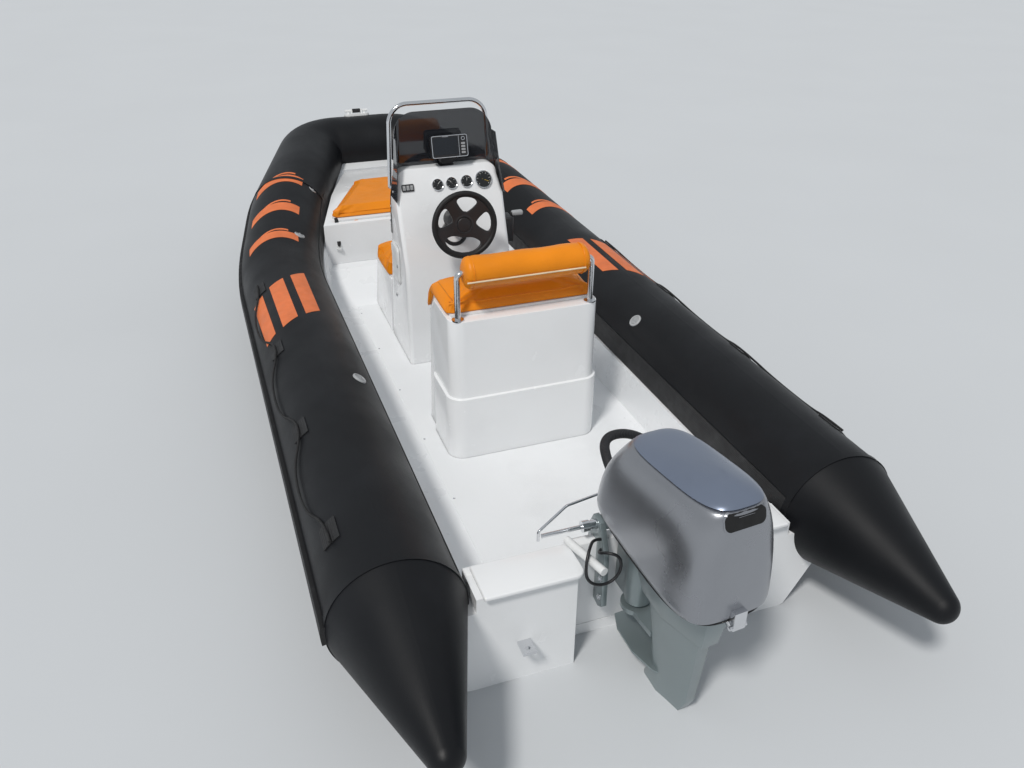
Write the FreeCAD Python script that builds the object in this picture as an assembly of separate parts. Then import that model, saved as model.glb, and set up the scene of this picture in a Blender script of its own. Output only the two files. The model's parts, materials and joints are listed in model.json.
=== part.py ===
import FreeCAD, Part
import math
import os

# Inflatable boat with a rigid hull, console, two seats and an outboard engine.
# Millimetres. +X forward, +Y to port, +Z up. The origin is on the centreline, at the
# aft end of the hull, at the height of the water.

V = FreeCAD.Vector
X_AXIS = V(1, 0, 0)
Y_AXIS = V(0, 1, 0)
Z_AXIS = V(0, 0, 1)

# General fits
SEAT_GAP = 0.3            # between curved or separate pieces that rest on each other
RUN_GAP = 6.0             # between pieces that move past each other
SKIN = 5.0                # thickness of moulded panels
LINER = 8.0               # thickness of the cockpit moulding

# Air tubes
TUBE_R = 234.0
TUBE_Y = 844.0
TUBE_Z = 370.0
TUBE_AFT = 50.0
BOW_X = 4673.0
BOW_Y = 352.0
BOW_Z = 623.0
SIDE_BEND_R = 2000.0
NOSE_BEND_R = TUBE_R + 10.0
# Corners of the port tube's centre line: x, y, z, bend radius
TUBE_RUN = (
    (TUBE_AFT, TUBE_Y, TUBE_Z, 0.0),
    (2942.0, TUBE_Y, TUBE_Z, SIDE_BEND_R),
    (3667.0, 686.0, 516.0, SIDE_BEND_R),
    (BOW_X, BOW_Y, BOW_Z, NOSE_BEND_R),
    (BOW_X, 0.0, BOW_Z, 0.0),
)
CONE_LENGTH = 560.0
CONE_TIP_R = 55.0
STRAKE_HALF_ANGLE = 9.0
STRAKE_DEPTH = 16.0
STRIP_DEPTH = 3.0
STRIP_ANGLES = (158.0, 183.0)

# Hull
SOLE_Z = 167.0
WALL_TOP_GAP = 13.0
HULL_AFT = 0.0
NOTCH_DEPTH = 120.0
NOTCH_HALF = 238.0
BOARD_HALF = TUBE_Y - TUBE_R - WALL_TOP_GAP
BOARD_FOOT = 47.0
TRANSOM_T = 45.0
TRANSOM_TOP = 430.0
# Covers aft of the transom, one each side of the engine
LEDGE_TOP = TRANSOM_TOP
LEDGE_T = 18.0
LEDGE_IN = NOTCH_HALF - 22.0
LEDGE_OUT = BOARD_HALF - 22.0
LEDGE_AFT = HULL_AFT - 22.0
LEDGE_FRONT = NOTCH_DEPTH + 26.0
LEDGE_R = 34.0
QUARTER_TOP = LEDGE_TOP - LEDGE_T - SEAT_GAP
# Hull sections: x, keel height, chine half-width, chine height
HULL_ROWS = (
    (HULL_AFT, -180.0, 640.0, 5.0),
    (2600.0, -180.0, 640.0, 15.0),
    (3400.0, -135.0, 545.0, 90.0),
    (3800.0, -65.0, 430.0, 175.0),
    (4200.0, 80.0, 270.0, 290.0),
    (4450.0, 255.0, 130.0, 370.0),
    (4600.0, 385.0, 45.0, 410.0),
)
# Cockpit floor: x, floor height, inset of the floor's edge from the wall's top edge
COCKPIT_AFT = NOTCH_DEPTH + TRANSOM_T
STEP_FOOT = 2857.0
STEP_TOP = 3150.0
STEP_HEIGHT = 300.0
COCKPIT_ROWS = (
    (COCKPIT_AFT, SOLE_Z, 18.0),
    (2600.0, SOLE_Z, 18.0),
    (STEP_FOOT, SOLE_Z, 20.0),
    (STEP_TOP, STEP_HEIGHT, 28.0),
    (3400.0, 310.0, 45.0),
    (3800.0, 360.0, 60.0),
    (4150.0, 430.0, 70.0),
    (4330.0, 500.0, 60.0),
)
WALL_DROP = 18.0          # the wall's top edge lies this far below the tube's centre line
# Hull sides under the tube, as shares of its radius: side inboard and down, top inboard
SIDE_IN = 0.46
SIDE_DROP = 0.83
TOP_IN = 0.25

# Bow locker
LOCKER_TOP = 560.0
LOCKER_RIM = 45.0
LOCKER_AFT = STEP_TOP + 78.0
LOCKER_FRONT_GAP = 20.0
LID_T = 12.0
LID_LIP = 30.0
HINGE_R = 5.0
BOW_PAD_T = 42.0
BOW_PAD_AFT = 3300.0
BOW_PAD_FRONT = 3935.0
# Bow cushion outline: x, half-width
BOW_PAD_ROWS = (
    (BOW_PAD_AFT, 440.0),
    (BOW_PAD_AFT + 45, 465.0),
    (BOW_PAD_FRONT, 211.0),
)
BOW_HINGE_X = BOW_PAD_FRONT + 13.0
BOW_HINGE_HALF = 160.0

# Floor panel
PANEL_AFT = 320.0
PANEL_FRONT = 2800.0
PANEL_HALF = 435.0
PANEL_T = 3.0
PANEL_GAP = 2.0

# Console
CONSOLE_Y = 22.0
CONSOLE_HALF = 280.0
CONSOLE_TOP_HALF = 262.0
CONSOLE_WALL = 5.0
CONSOLE_AFT_R = 22.0
CONSOLE_FRONT_R = 34.0
CONSOLE_AFT = 2036.0
KNEE_Z = 700.0
DASH_X = CONSOLE_AFT + 124.0    # crease between the lower panel and the dash
DASH_Z = KNEE_Z + 315.0
DASH_TOP_X = DASH_X + 72.0
CONSOLE_TOP = DASH_Z + 145.0
CONSOLE_FRONT_TOP = DASH_TOP_X + 58.0
CONSOLE_FRONT_FOOT = CONSOLE_FRONT_TOP + 185.0
CONSOLE_TOP_R = 54.0
DASH_MIDDLE_Z = CONSOLE_TOP - CONSOLE_TOP_R - 4.0
DASH_MIDDLE_X = DASH_X + (DASH_TOP_X - DASH_X) * (DASH_MIDDLE_Z - DASH_Z) / (CONSOLE_TOP - DASH_Z)
# Console levels: height, aft face, half-width
CONSOLE_LEVELS = (
    (SOLE_Z, CONSOLE_AFT, CONSOLE_HALF),
    (KNEE_Z, CONSOLE_AFT, CONSOLE_HALF),
    (DASH_Z, DASH_X, CONSOLE_HALF),
    (DASH_MIDDLE_Z, DASH_MIDDLE_X, CONSOLE_TOP_HALF),
    (CONSOLE_TOP, DASH_TOP_X, CONSOLE_TOP_HALF),
)
HATCH_AFT = CONSOLE_AFT + 142.0
HATCH_FRONT = HATCH_AFT + 134.0
HATCH_LOW = 574.0
HATCH_HIGH = HATCH_LOW + 194.0
HATCH_FRAME = 16.0
HATCH_T = 10.0
# Gauges: radius, y, distance up the dash from the crease
GAUGES = (
    (30.0, 83.0, 71.0),
    (30.0, 10.0, 73.0),
    (31.0, -69.0, 75.0),
    (45.0, -160.0, 76.0),
)
GAUGE_T = 9.0
SWITCH_Y = 236.0
SWITCH_UP = 70.0
SWITCH_HALF = 30.0
SWITCH_HALF_HEIGHT = 17.0
PLOTTER_X = DASH_TOP_X - 7.0
PLOTTER_Y = 6.0
PLOTTER_LOW = CONSOLE_TOP + 42.0
PLOTTER_HALF = 94.0
PLOTTER_HEIGHT = 110.0
PLOTTER_T = 44.0
PLOTTER_TILT = 14.0
PLOTTER_FOOT_HALF = 56.0
PLOTTER_HEEL_HALF = 24.0

# Windscreen and rail
SCREEN_T = 4.0
SCREEN_FOOT = 815.0
SCREEN_SIDE_FOOT = DASH_Z + 8.0
SCREEN_SIDE_FRONT = DASH_X + 140.0
SCREEN_TOP = CONSOLE_TOP + 264.0
SCREEN_TOP_HALF = CONSOLE_TOP_HALF - 16.0
SCREEN_AFT = DASH_X - 15.0
SCREEN_AFT_TOP = DASH_TOP_X + 10.0
SCREEN_BEND_R = CONSOLE_FRONT_R + SEAT_GAP + SCREEN_T
SCREEN_CORNER_R = 110.0
RAIL_R = 11.0
RAIL_X = CONSOLE_FRONT_TOP + 74.0
RAIL_TOP = SCREEN_TOP + 24.0
RAIL_HALF = CONSOLE_TOP_HALF + 3.0
RAIL_TOP_HALF = RAIL_HALF - 16.0
RAIL_FOOT = DASH_Z + 25.0
RAIL_FOOT_R = 9.5
RAIL_BEND_R = 95.0

# Helm
WHEEL_R = 165.0
WHEEL_RIM_R = 14.0
WHEEL_X = 1914.0
WHEEL_Y = 28.0
WHEEL_Z = 957.0
WHEEL_TILT = 10.0
HUB_R = 62.0
HUB_T = 34.0
SHAFT_R = 11.0
SHAFT_REACH = 60.0
SPOKE_ANGLES = (30, 105, 235, 310)
SPOKE_HALF = 17.0
BOOT_R = 48.0
BOOT_LENGTH = 90.0

# Engine control
CONTROL_X = CONSOLE_AFT + 140.0
CONTROL_Y = CONSOLE_Y - CONSOLE_HALF
CONTROL_Z = 820.0
CONTROL_T = 46.0
CONTROL_HALF = 48.0
CONTROL_HALF_HEIGHT = 68.0
LEVER_REACH = 88.0
LEVER_T = 14.0
GRIP_REACH = 52.0

# Front seat on the console
FRONT_SEAT_FRONT = 2880.0
FRONT_SEAT_TOP = 510.0
FRONT_SEAT_TOP_FRONT = 2760.0
FRONT_SEAT_HALF = CONSOLE_HALF
FRONT_PAD_T = 85.0
FRONT_PAD_AFT = 2428.0
FRONT_PAD_OVER = 18.0

# Helm seat
SEAT_AFT = 1125.0
SEAT_TOP_FRONT = SEAT_AFT + 305.0
SEAT_NOSE_FRONT = SEAT_AFT + 375.0
SEAT_FOOT_FRONT = SEAT_AFT + 430.0
SEAT_HALF = 338.0
SEAT_TOP = 836.0
SEAT_NOSE_Z = SEAT_TOP - 76.0
SEAT_LID_FOOT = SEAT_NOSE_Z - 25.0
# Seat box levels: height, front face
SEAT_LEVELS = (
    (SOLE_Z + SEAT_GAP, SEAT_FOOT_FRONT),
    (SEAT_NOSE_Z, SEAT_NOSE_FRONT),
    (SEAT_TOP, SEAT_TOP_FRONT),
)
SEAT_EDGE_R = 60.0
SEAT_STEP = 14.0
SEAT_STEP_TOP = 470.0
SEAT_STEP_FRONT = SEAT_AFT + 315.0
SEAT_PAD_AFT = SEAT_AFT + 62.0
SEAT_PAD_TOP = SEAT_TOP + 66.0
SEAT_PAD_R = 50.0
BACK_R = 66.0
BACK_Z = 1042.0
BACK_X = SEAT_AFT + 28.0
BACK_HALF = 298.0
BACK_BEND_R = 24.0
FRAME_R = 12.5
FRAME_FOOT_R = 26.0

# Tube fittings
VALVE_R = 32.0
VALVE_T = 6.0
# Valves: x, point across and up on the tube, side
VALVES = (
    (3620.0, 576.0, 620.0, 1),
    (3020.0, 686.0, 620.0, 1),
    (1300.0, 705.0, 550.0, 1),
    (1440.0, 729.0, 500.0, -1),
)
LINE_R = 5.0
LINE_ANGLE = 48.0
LINE_SAG = 22.0
LINE_PATCHES = (2405.0, 1705.0, 995.0, 330.0)
PATCH_HALF = 55.0
PATCH_SPREAD = 9.0
PATCH_T = 4.0

# Bow fairlead, turned forward about the nose tube
FAIRLEAD_TURN = 15.0
FAIRLEAD_HALF = 90.0
FAIRLEAD_LENGTH = 92.0
FAIRLEAD_T = 14.0
HORN_R = 10.0
HORN_Z = 36.0
ROLLER_R = 15.0
ROLLER_HALF = 28.0
ROLLER_PIN_R = 5.0

# Tow eyes
EYE_BORE_R = 9.0
EYE_T = 12.0
STERN_EYE_Y = NOTCH_HALF + 192.0
STERN_EYE_Z = 168.0
STERN_EYE_REACH = 62.0
STERN_EYE_BORE = 42.0
STERN_EYE_HALF = 24.0
BOW_EYE_X = 4318.0
BOW_EYE_Z = 128.0
BOW_EYE_HALF = 28.0
BOW_EYE_ROOT = 63.0

# Outboard engine
STEER_REST = 5.0          # the engine stands turned by this angle at rest
MOUNT_X = NOTCH_DEPTH
MOUNT_TOP = TRANSOM_TOP
TILT_X = MOUNT_X + 14.0
TILT_Z = MOUNT_TOP + 66.0
TILT_TUBE_R = 17.0
TILT_TUBE_HALF = 150.0
TILT_BOSS_R = 28.0
TILT_NUT_LENGTH = 26.0
PIVOT_GAP = 0.1
BRACKET_OUT = 118.0
BRACKET_T = 22.0
BRACKET_FOOT = MOUNT_TOP - 268.0
BRACKET_HOOK = 90.0
BRACKET_DEPTH = 70.0
HOOK_FOOT_T = 32.0
HOOK_NECK_T = 20.0
HOOK_NECK_Z = 40.0
SWIVEL_X = MOUNT_X - 112.0
SWIVEL_R = 34.0
SWIVEL_WALL = 14.0
SWIVEL_TOP = MOUNT_TOP + 104.0
SWIVEL_FOOT = MOUNT_TOP - 215.0
STEER_ARM_REACH = 200.0
STEER_ARM_T = 14.0
STEER_HEAD_R = 58.0
STEER_HEAD_T = 26.0
STEER_FOOT_T = 20.0
STEER_REAR = 152.0
STEER_EYE_R = 5.2
RAM_R = 8.0
RAM_END_Y = 320.0
LINK_R = 5.0
SEAM_SLOPE = 0.126        # the line between the cowl and its tray rises forward
SEAM_Z = MOUNT_TOP + 193.5     # height of that line over the origin
SEAM_DROP = 42.0          # from it down to the tray's foot
COWL_T = 6.0
# Cowl levels: front, aft, height at the front and at the aft end, half-width, corner radii
COWL_LEVELS = (
    (127.0, -482.0, SEAM_Z + 16.0, SEAM_Z - 60.7, 171.0, 66.0, 86.0),
    (115.0, -478.0, MOUNT_TOP + 310.0, MOUNT_TOP + 292.0, 163.0, 66.0, 88.0),
    (74.0, -465.0, MOUNT_TOP + 408.0, MOUNT_TOP + 422.0, 149.0, 62.0, 84.0),
    (29.0, -451.0, MOUNT_TOP + 484.0, MOUNT_TOP + 517.0, 111.0, 54.0, 70.0),
    (0.0, -414.0, MOUNT_TOP + 504.0, MOUNT_TOP + 545.0, 72.0, 40.0, 50.0),
)
LATCH_HALF = 22.0
LATCH_T = 20.0
LATCH_LOW = MOUNT_TOP + 112.0
LATCH_HIGH = MOUNT_TOP + 178.0
BLOCK_FRONT = 40.0
BLOCK_AFT = -370.0
BLOCK_HALF = 100.0
BLOCK_TOP = MOUNT_TOP + 400.0
PLATE_Z = MOUNT_TOP - 521.0
PLATE_T = 8.0
# Outlines of the two level plates: distance aft of the transom, half-width
PLATE_PLAN = ((150, 40), (260, 96), (430, 86), (470, 40))
SPLASH_PLAN = ((24, 30), (90, 58), (210, 68), (310, 48), (365, 12))
PROP_Z = PLATE_Z - 185.0
PROP_R = 145.0
PROP_HUB_R = 38.0
PROP_HUB_LENGTH = 80.0
PROP_SHAFT_R = 10.0
PROP_SHAFT_LENGTH = 50.0
BLADE_T = 5.0
BLADE_PITCH = 28.0
BLADE_ANGLES = (0, 120, 240)
SKEG_Z = PLATE_Z - 345.0
SKEG_T = 10.0
LEG_AFT = MOUNT_X - 405.0
LEG_FRONT = MOUNT_X - 175.0
LEG_TAIL = MOUNT_X - 460.0
LEG_NOSE = MOUNT_X - 262.0
COLLAR_Z = MOUNT_TOP - 60.0
SPLASH_Z = MOUNT_TOP - 352.0
SPLASH_T = 9.0
GEARCASE_R = 48.0
GEARCASE_LENGTH = 175.0
GEARCASE_TAIL = LEG_FRONT - 215.0

# Hose from the cowl's tray to the cockpit floor: x, y, z, bend radius
HOSE_R = 18.5
HOSE_RUN = (
    (95.0, 36.0, 606.0, 0.0),
    (250.0, 28.0, 640.0, 160.0),
    (440.0, -40.0, 636.0, 150.0),
    (490.0, -215.0, 582.0, 120.0),
    (430.0, -390.0, 420.0, 120.0),
    (376.0, -480.0, SOLE_Z - 35.0, 0.0),
)
SLEEVE_R = 15.0
SLEEVE_FRONT = (143.0, 222.0)
SLEEVE_AFT = (-50.0, 168.0)


def path_pieces(run):
    """Split a run of corners into straight lines and tangent arcs."""
    points = [V(x, y, z) for x, y, z, _ in run]
    pieces = []
    here = points[0]
    for i in range(1, len(points) - 1):
        back = (points[i - 1] - points[i]).normalize()
        ahead = (points[i + 1] - points[i]).normalize()
        turn = math.pi - back.getAngle(ahead)
        radius = run[i][3]
        reach = radius * math.tan(turn / 2)
        start = points[i] + back * reach
        end = points[i] + ahead * reach
        middle_way = (back + ahead).normalize()
        centre = points[i] + middle_way * math.hypot(radius, reach)
        axis = back.cross(ahead).normalize() * -1
        pieces.append(("line", here, start))
        pieces.append(("arc", start, end, centre, axis, math.degrees(turn)))
        here = end
    pieces.append(("line", here, points[-1]))
    return pieces


def sweep(profile, pieces):
    """Carry a face along lines and arcs, and return the solids and the last face."""
    solids = []
    for piece in pieces:
        if piece[0] == "line":
            move = piece[2] - piece[1]
            solids.append(profile.extrude(move))
            profile = profile.copy()
            profile.translate(move)
        else:
            _, _, _, centre, axis, angle = piece
            solids.append(profile.revolve(centre, axis, angle))
            profile = profile.copy()
            profile.rotate(centre, axis, angle)
    return solids, profile


def fused(solids):
    """Join solids into one shape without inner faces."""
    shape = solids[0]
    if len(solids) > 1:
        shape = shape.multiFuse(solids[1:])
    return shape.removeSplitter()


def mirror(shape):
    """The same shape on the other side of the centreline."""
    return shape.mirror(V(0, 0, 0), Y_AXIS)


def both_sides(shape):
    """A shape and its mirror image as one compound."""
    return Part.makeCompound([shape, mirror(shape)])


def box(x0, x1, y0, y1, z0, z1):
    """A box between two corners."""
    return Part.makeBox(x1 - x0, y1 - y0, z1 - z0, V(x0, y0, z0))


def rod(start, end, radius):
    """A round bar between two points."""
    way = end - start
    return Part.makeCylinder(radius, way.Length, start, way)


def polygon_face(points):
    """A flat face through corner points."""
    return Part.Face(Part.makePolygon(list(points) + [points[0]]))


def plate(points_xy, z0, z1):
    """A level plate with the given plan outline."""
    face = polygon_face([V(x, y, z0) for x, y in points_xy])
    return face.extrude(V(0, 0, z1 - z0))


def mirrored_plan(rows):
    """A closed plan outline from port half-widths by x."""
    return [(x, y) for x, y in rows] + [(x, -y) for x, y in reversed(rows)]


def side_profile(points_xz, half_width):
    """A profile in the XZ plane, extruded to both sides of the centreline."""
    face = polygon_face([V(x, -half_width, z) for x, z in points_xz])
    return face.extrude(V(0, 2 * half_width, 0))


def bent_tube(run, radius):
    """A round tube or rod along corners with bend radii."""
    pieces = path_pieces(run)
    way = pieces[0][2] - pieces[0][1]
    circle = Part.Circle(pieces[0][1], way, radius)
    profile = Part.Face(Part.Wire(circle.toShape()))
    solids, _ = sweep(profile, pieces)
    return fused(solids)


def circle_profile(radius):
    circle = Part.Circle(V(TUBE_AFT, TUBE_Y, TUBE_Z), X_AXIS, radius)
    return Part.Face(Part.Wire(circle.toShape()))


def sector_profile(inner_r, outer_r, first, last):
    """Part of a ring about the tube, by angles from outboard upward."""
    def at(radius, angle):
        a = math.radians(angle)
        return V(TUBE_AFT, TUBE_Y + radius * math.cos(a), TUBE_Z + radius * math.sin(a))
    middle = (first + last) / 2
    inner = Part.Arc(at(inner_r, first), at(inner_r, middle), at(inner_r, last)).toShape()
    outer = Part.Arc(at(outer_r, last), at(outer_r, middle), at(outer_r, first)).toShape()
    end = Part.LineSegment(at(inner_r, last), at(outer_r, last)).toShape()
    start = Part.LineSegment(at(outer_r, first), at(inner_r, first)).toShape()
    return Part.Face(Part.Wire([inner, end, outer, start]))


TUBE_PIECES = path_pieces(TUBE_RUN)
SIDE_PIECES = TUBE_PIECES[:4]
NOSE_PIECES = TUBE_PIECES[4:]


def tube_centre(x):
    """Centre of the port tube's section at a station x, and its inboard half-width."""
    for piece in TUBE_PIECES[:-2]:
        start = piece[1]
        end = piece[2]
        if x <= end.x:
            if piece[0] == "line":
                share = (x - start.x) / (end.x - start.x)
                point = start + (end - start) * share
                way = (end - start).normalize()
            else:
                chord = end - start
                share = (x - start.x) / chord.x
                sag = chord.Length * math.radians(piece[5]) / 8 * 4 * share * (1 - share)
                outward = ((start + end) * 0.5 - piece[3]).normalize()
                point = start + chord * share + outward * sag
                way = chord.normalize()
            break
    else:
        way = (TUBE_PIECES[-3][2] - TUBE_PIECES[-3][1]).normalize()
        corner = TUBE_PIECES[-3][2]
        point = corner + way * ((x - corner.x) / way.x)
    return point, point.y - TUBE_R / way.x


def hull_section(row):
    x, keel, chine_y, chine_z = row
    centre, _ = tube_centre(x)
    side = (centre.y - SIDE_IN * TUBE_R, centre.z - SIDE_DROP * TUBE_R)
    top = (max(centre.y - TOP_IN * TUBE_R, side[0] + 20), centre.z - WALL_DROP)
    half = [(0, keel), (chine_y, chine_z), side, top]
    points = half + [(-y, z) for y, z in reversed(half) if y > 0]
    wire = Part.makePolygon([V(x, y, z) for y, z in points + [points[0]]])
    return wire


def cavity_section(row, grow):
    """One section of the cockpit's hollow, made larger all round by grow."""
    x, floor, inset = row
    centre, inner = tube_centre(x)
    wall_top = centre.z - WALL_DROP
    top_y = inner - WALL_TOP_GAP + grow
    floor_y = top_y - inset
    share = 1 + 300 / (wall_top - floor)
    high_y = floor_y + (top_y - floor_y) * share
    high_z = floor + (wall_top - floor) * share
    points = [(floor_y, floor - grow), (high_y, high_z), (-high_y, high_z),
              (-floor_y, floor - grow)]
    return Part.makePolygon([V(x, y, z) for y, z in points + [points[0]]])


def cockpit_space(grow):
    """The cockpit's hollow as a solid."""
    rows = [list(row) for row in COCKPIT_ROWS]
    rows[0][0] -= grow
    rows[-1][0] += grow
    return Part.makeLoft([cavity_section(row, grow) for row in rows], True, True)


def tubes():
    side_solids, seam_face = sweep(circle_profile(TUBE_R), SIDE_PIECES)
    nose_solids, _ = sweep(seam_face, NOSE_PIECES)
    port = fused(side_solids)
    nose = fused(nose_solids)
    return port, fused([nose, mirror(nose)])


def cone():
    """Closed aft end of the port tube, with a rounded tip."""
    slope = math.atan((TUBE_R - CONE_TIP_R) / CONE_LENGTH)
    tip_x = TUBE_AFT - CONE_LENGTH
    taper = Part.makeCone(CONE_TIP_R, TUBE_R, CONE_LENGTH, V(tip_x, TUBE_Y, TUBE_Z), X_AXIS)
    centre = V(tip_x + CONE_TIP_R * math.tan(slope), TUBE_Y, TUBE_Z)
    tip = Part.makeSphere(CONE_TIP_R / math.cos(slope), centre)
    return fused([taper, tip])


def tube_space(gap):
    """Both tubes and the nose, larger by a gap, to cut what seats on them."""
    side_solids, seam_face = sweep(circle_profile(TUBE_R + gap), SIDE_PIECES)
    nose_solids, _ = sweep(seam_face, NOSE_PIECES)
    solids = side_solids + nose_solids
    return solids + [mirror(solid) for solid in solids]


def hull_and_liner():
    block = Part.makeLoft([hull_section(row) for row in HULL_ROWS], True, True)
    block = block.cut(tube_space(SEAT_GAP))
    quarter = box(HULL_AFT, NOTCH_DEPTH, NOTCH_HALF, BOARD_HALF, SOLE_Z, QUARTER_TOP)
    block = block.fuse([quarter, mirror(quarter)])
    notch = box(HULL_AFT - 50, NOTCH_DEPTH, -NOTCH_HALF, NOTCH_HALF, -400, 600)
    block = block.cut(notch)
    space = cockpit_space(0)
    outer = cockpit_space(LINER)
    liner = outer.cut(space)
    liner = liner.common(block)
    ends = [cone(), mirror(cone())]
    hull = block.cut(outer).cut(ends)
    return hull, liner


def transom_board():
    """The board between the side walls that carries the engine."""
    middle = LEDGE_IN - PANEL_GAP
    wide = box(NOTCH_DEPTH, COCKPIT_AFT, -BOARD_HALF, BOARD_HALF, BOARD_FOOT, QUARTER_TOP)
    raised = box(NOTCH_DEPTH, COCKPIT_AFT, -middle, middle, BOARD_FOOT, TRANSOM_TOP)
    return fused([wide, raised])


def transom_ledges():
    """Thin covers aft of the transom, one each side of the engine."""
    ledge = box(LEDGE_AFT, LEDGE_FRONT, LEDGE_IN, LEDGE_OUT, LEDGE_TOP - LEDGE_T, LEDGE_TOP)
    inner = [e for e in ledge.Edges if e.BoundBox.YMax < LEDGE_IN + 1 and e.BoundBox.ZLength > 1]
    return both_sides(ledge.makeFillet(LEDGE_R, inner))


def strakes():
    outer = sector_profile(TUBE_R, TUBE_R + STRAKE_DEPTH, -STRAKE_HALF_ANGLE, STRAKE_HALF_ANGLE)
    solids, _ = sweep(outer, TUBE_PIECES)
    half = fused(solids)
    return fused([half, mirror(half)])


def joint_strips(under):
    """Flat bands over the joint between the tubes and the hull's walls."""
    flat = sector_profile(TUBE_R, TUBE_R + STRIP_DEPTH, *STRIP_ANGLES)
    solids, _ = sweep(flat, SIDE_PIECES)
    return both_sides(fused(solids).cut(under))


def locker_section(row, inset):
    """One section of the bow locker, inside the hollow's walls by inset."""
    x, floor, edge = row
    centre, inner = tube_centre(x)
    wall_top = centre.z - WALL_DROP
    top_y = inner - WALL_TOP_GAP - SEAT_GAP - inset
    low = floor + SEAT_GAP + inset
    top = LOCKER_TOP - inset
    knee = min(wall_top, top - 15)
    knee_y = top_y - edge * (wall_top - knee) / (wall_top - floor)
    foot_y = top_y - edge * (wall_top - low) / (wall_top - floor)
    points = [(foot_y, low), (knee_y, knee), (knee_y, top), (-knee_y, top), (-knee_y, knee),
              (-foot_y, low)]
    return Part.makePolygon([V(x, y, z) for y, z in points + [points[0]]])


def inset_rows(rows, inset):
    """Half-width rows drawn in at the ends and at the sides."""
    first = rows[0]
    last = rows[-1]
    middle = [(x, y - inset) for x, y in rows[1:-1]]
    return [(first[0] + inset, first[1] - inset)] + middle + [(last[0] - inset, last[1] - inset)]


def bow_locker():
    """Raised locker in the bow, open at the top."""
    rows = [row for row in COCKPIT_ROWS if row[0] >= STEP_TOP]
    front = rows[-1][0] - LOCKER_FRONT_GAP
    outer = Part.makeLoft([locker_section(row, 0) for row in rows], True, True)
    outer = outer.common(box(LOCKER_AFT, front, -800, 800, 0, 900))
    inner = Part.makeLoft([locker_section(row, SKIN) for row in rows], True, True)
    inner = inner.common(box(LOCKER_AFT + SKIN, front - SKIN, -800, 800, 0, 900))
    hole = plate(mirrored_plan(inset_rows(BOW_PAD_ROWS, LOCKER_RIM)),
                 LOCKER_TOP - 50, LOCKER_TOP + 50)
    return outer.cut(inner).cut(hole)


def barrels(x, z, half, mid_y=0.0):
    """Two hinge barrels along Y."""
    third = 2 * half / 3
    start = V(x, mid_y - half, z)
    other = V(x, mid_y + half - third, z)
    return [Part.makeCylinder(HINGE_R, third, start, Y_AXIS),
            Part.makeCylinder(HINGE_R, third, other, Y_AXIS)]


def bow_lid():
    """Board under the bow cushion, hinged at its front edge."""
    low = LOCKER_TOP + SEAT_GAP
    rows = ((BOW_PAD_AFT - LID_LIP, BOW_PAD_ROWS[0][1] - 12),
            (BOW_PAD_ROWS[1][0], BOW_PAD_ROWS[1][1] - 8),
            (BOW_HINGE_X, BOW_PAD_ROWS[2][1] - 8))
    board = plate(mirrored_plan(rows), low, low + LID_T)
    return fused([board] + barrels(BOW_HINGE_X, low + HINGE_R, BOW_HINGE_HALF))


def bow_cushion():
    low = LOCKER_TOP + LID_T + 2 * SEAT_GAP
    return plate(mirrored_plan(BOW_PAD_ROWS), low, low + BOW_PAD_T)


def rounded_wire(aft, front, half, z_aft, z_front, aft_r, front_r, mid_y=0.0):
    """A rectangle in plan with round corners, level or sloping along X."""
    slope = (z_front - z_aft) / (front - aft)

    def at(x, y):
        return V(x, mid_y + y, z_aft + (x - aft) * slope)
    corners = ((front, -1, 1, front_r), (aft, 1, 1, aft_r),
               (aft, 1, -1, aft_r), (front, -1, -1, front_r))
    edges = []
    last = None
    first = None
    for i, (x, inward, side, radius) in enumerate(corners):
        share = radius * (1 - math.sqrt(0.5))
        on_end = at(x, side * (half - radius))
        on_side = at(x + inward * radius, side * half)
        middle = at(x + inward * share, side * (half - share))
        enter, leave = (on_side, on_end) if i % 2 else (on_end, on_side)
        if last:
            edges.append(Part.LineSegment(last, enter).toShape())
        else:
            first = enter
        edges.append(Part.Arc(enter, middle, leave).toShape())
        last = leave
    edges.append(Part.LineSegment(last, first).toShape())
    return Part.Wire(edges)


def rounded_block(x0, x1, half, z0, z1, radius, mid_y=0.0):
    """A block with round upright edges."""
    face = Part.Face(rounded_wire(x0, x1, half, z0, z0, radius, radius, mid_y))
    return face.extrude(V(0, 0, z1 - z0))


def between_levels(levels, z, column):
    """A value at a height, between rows that start with their heights."""
    for low, high in zip(levels, levels[1:]):
        if z <= high[0]:
            break
    share = (z - low[0]) / (high[0] - low[0])
    return low[column] + (high[column] - low[column]) * share


def console_front(z):
    """The console's front face at a height."""
    share = (z - SOLE_Z) / (CONSOLE_TOP - SOLE_Z)
    return CONSOLE_FRONT_FOOT + (CONSOLE_FRONT_TOP - CONSOLE_FRONT_FOOT) * share


def console_solid(inset, low, high):
    """The console's outer form, drawn in by inset."""
    heights = [low] + [row[0] for row in CONSOLE_LEVELS[1:-1]] + [high]
    wires = []
    for z in heights:
        aft = between_levels(CONSOLE_LEVELS, z, 1) + inset
        half = between_levels(CONSOLE_LEVELS, z, 2) - inset
        wires.append(rounded_wire(aft, console_front(z) - inset, half, z, z,
                                  CONSOLE_AFT_R - inset, CONSOLE_FRONT_R - inset, CONSOLE_Y))
    return Part.makeLoft(wires, True, True)


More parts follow.
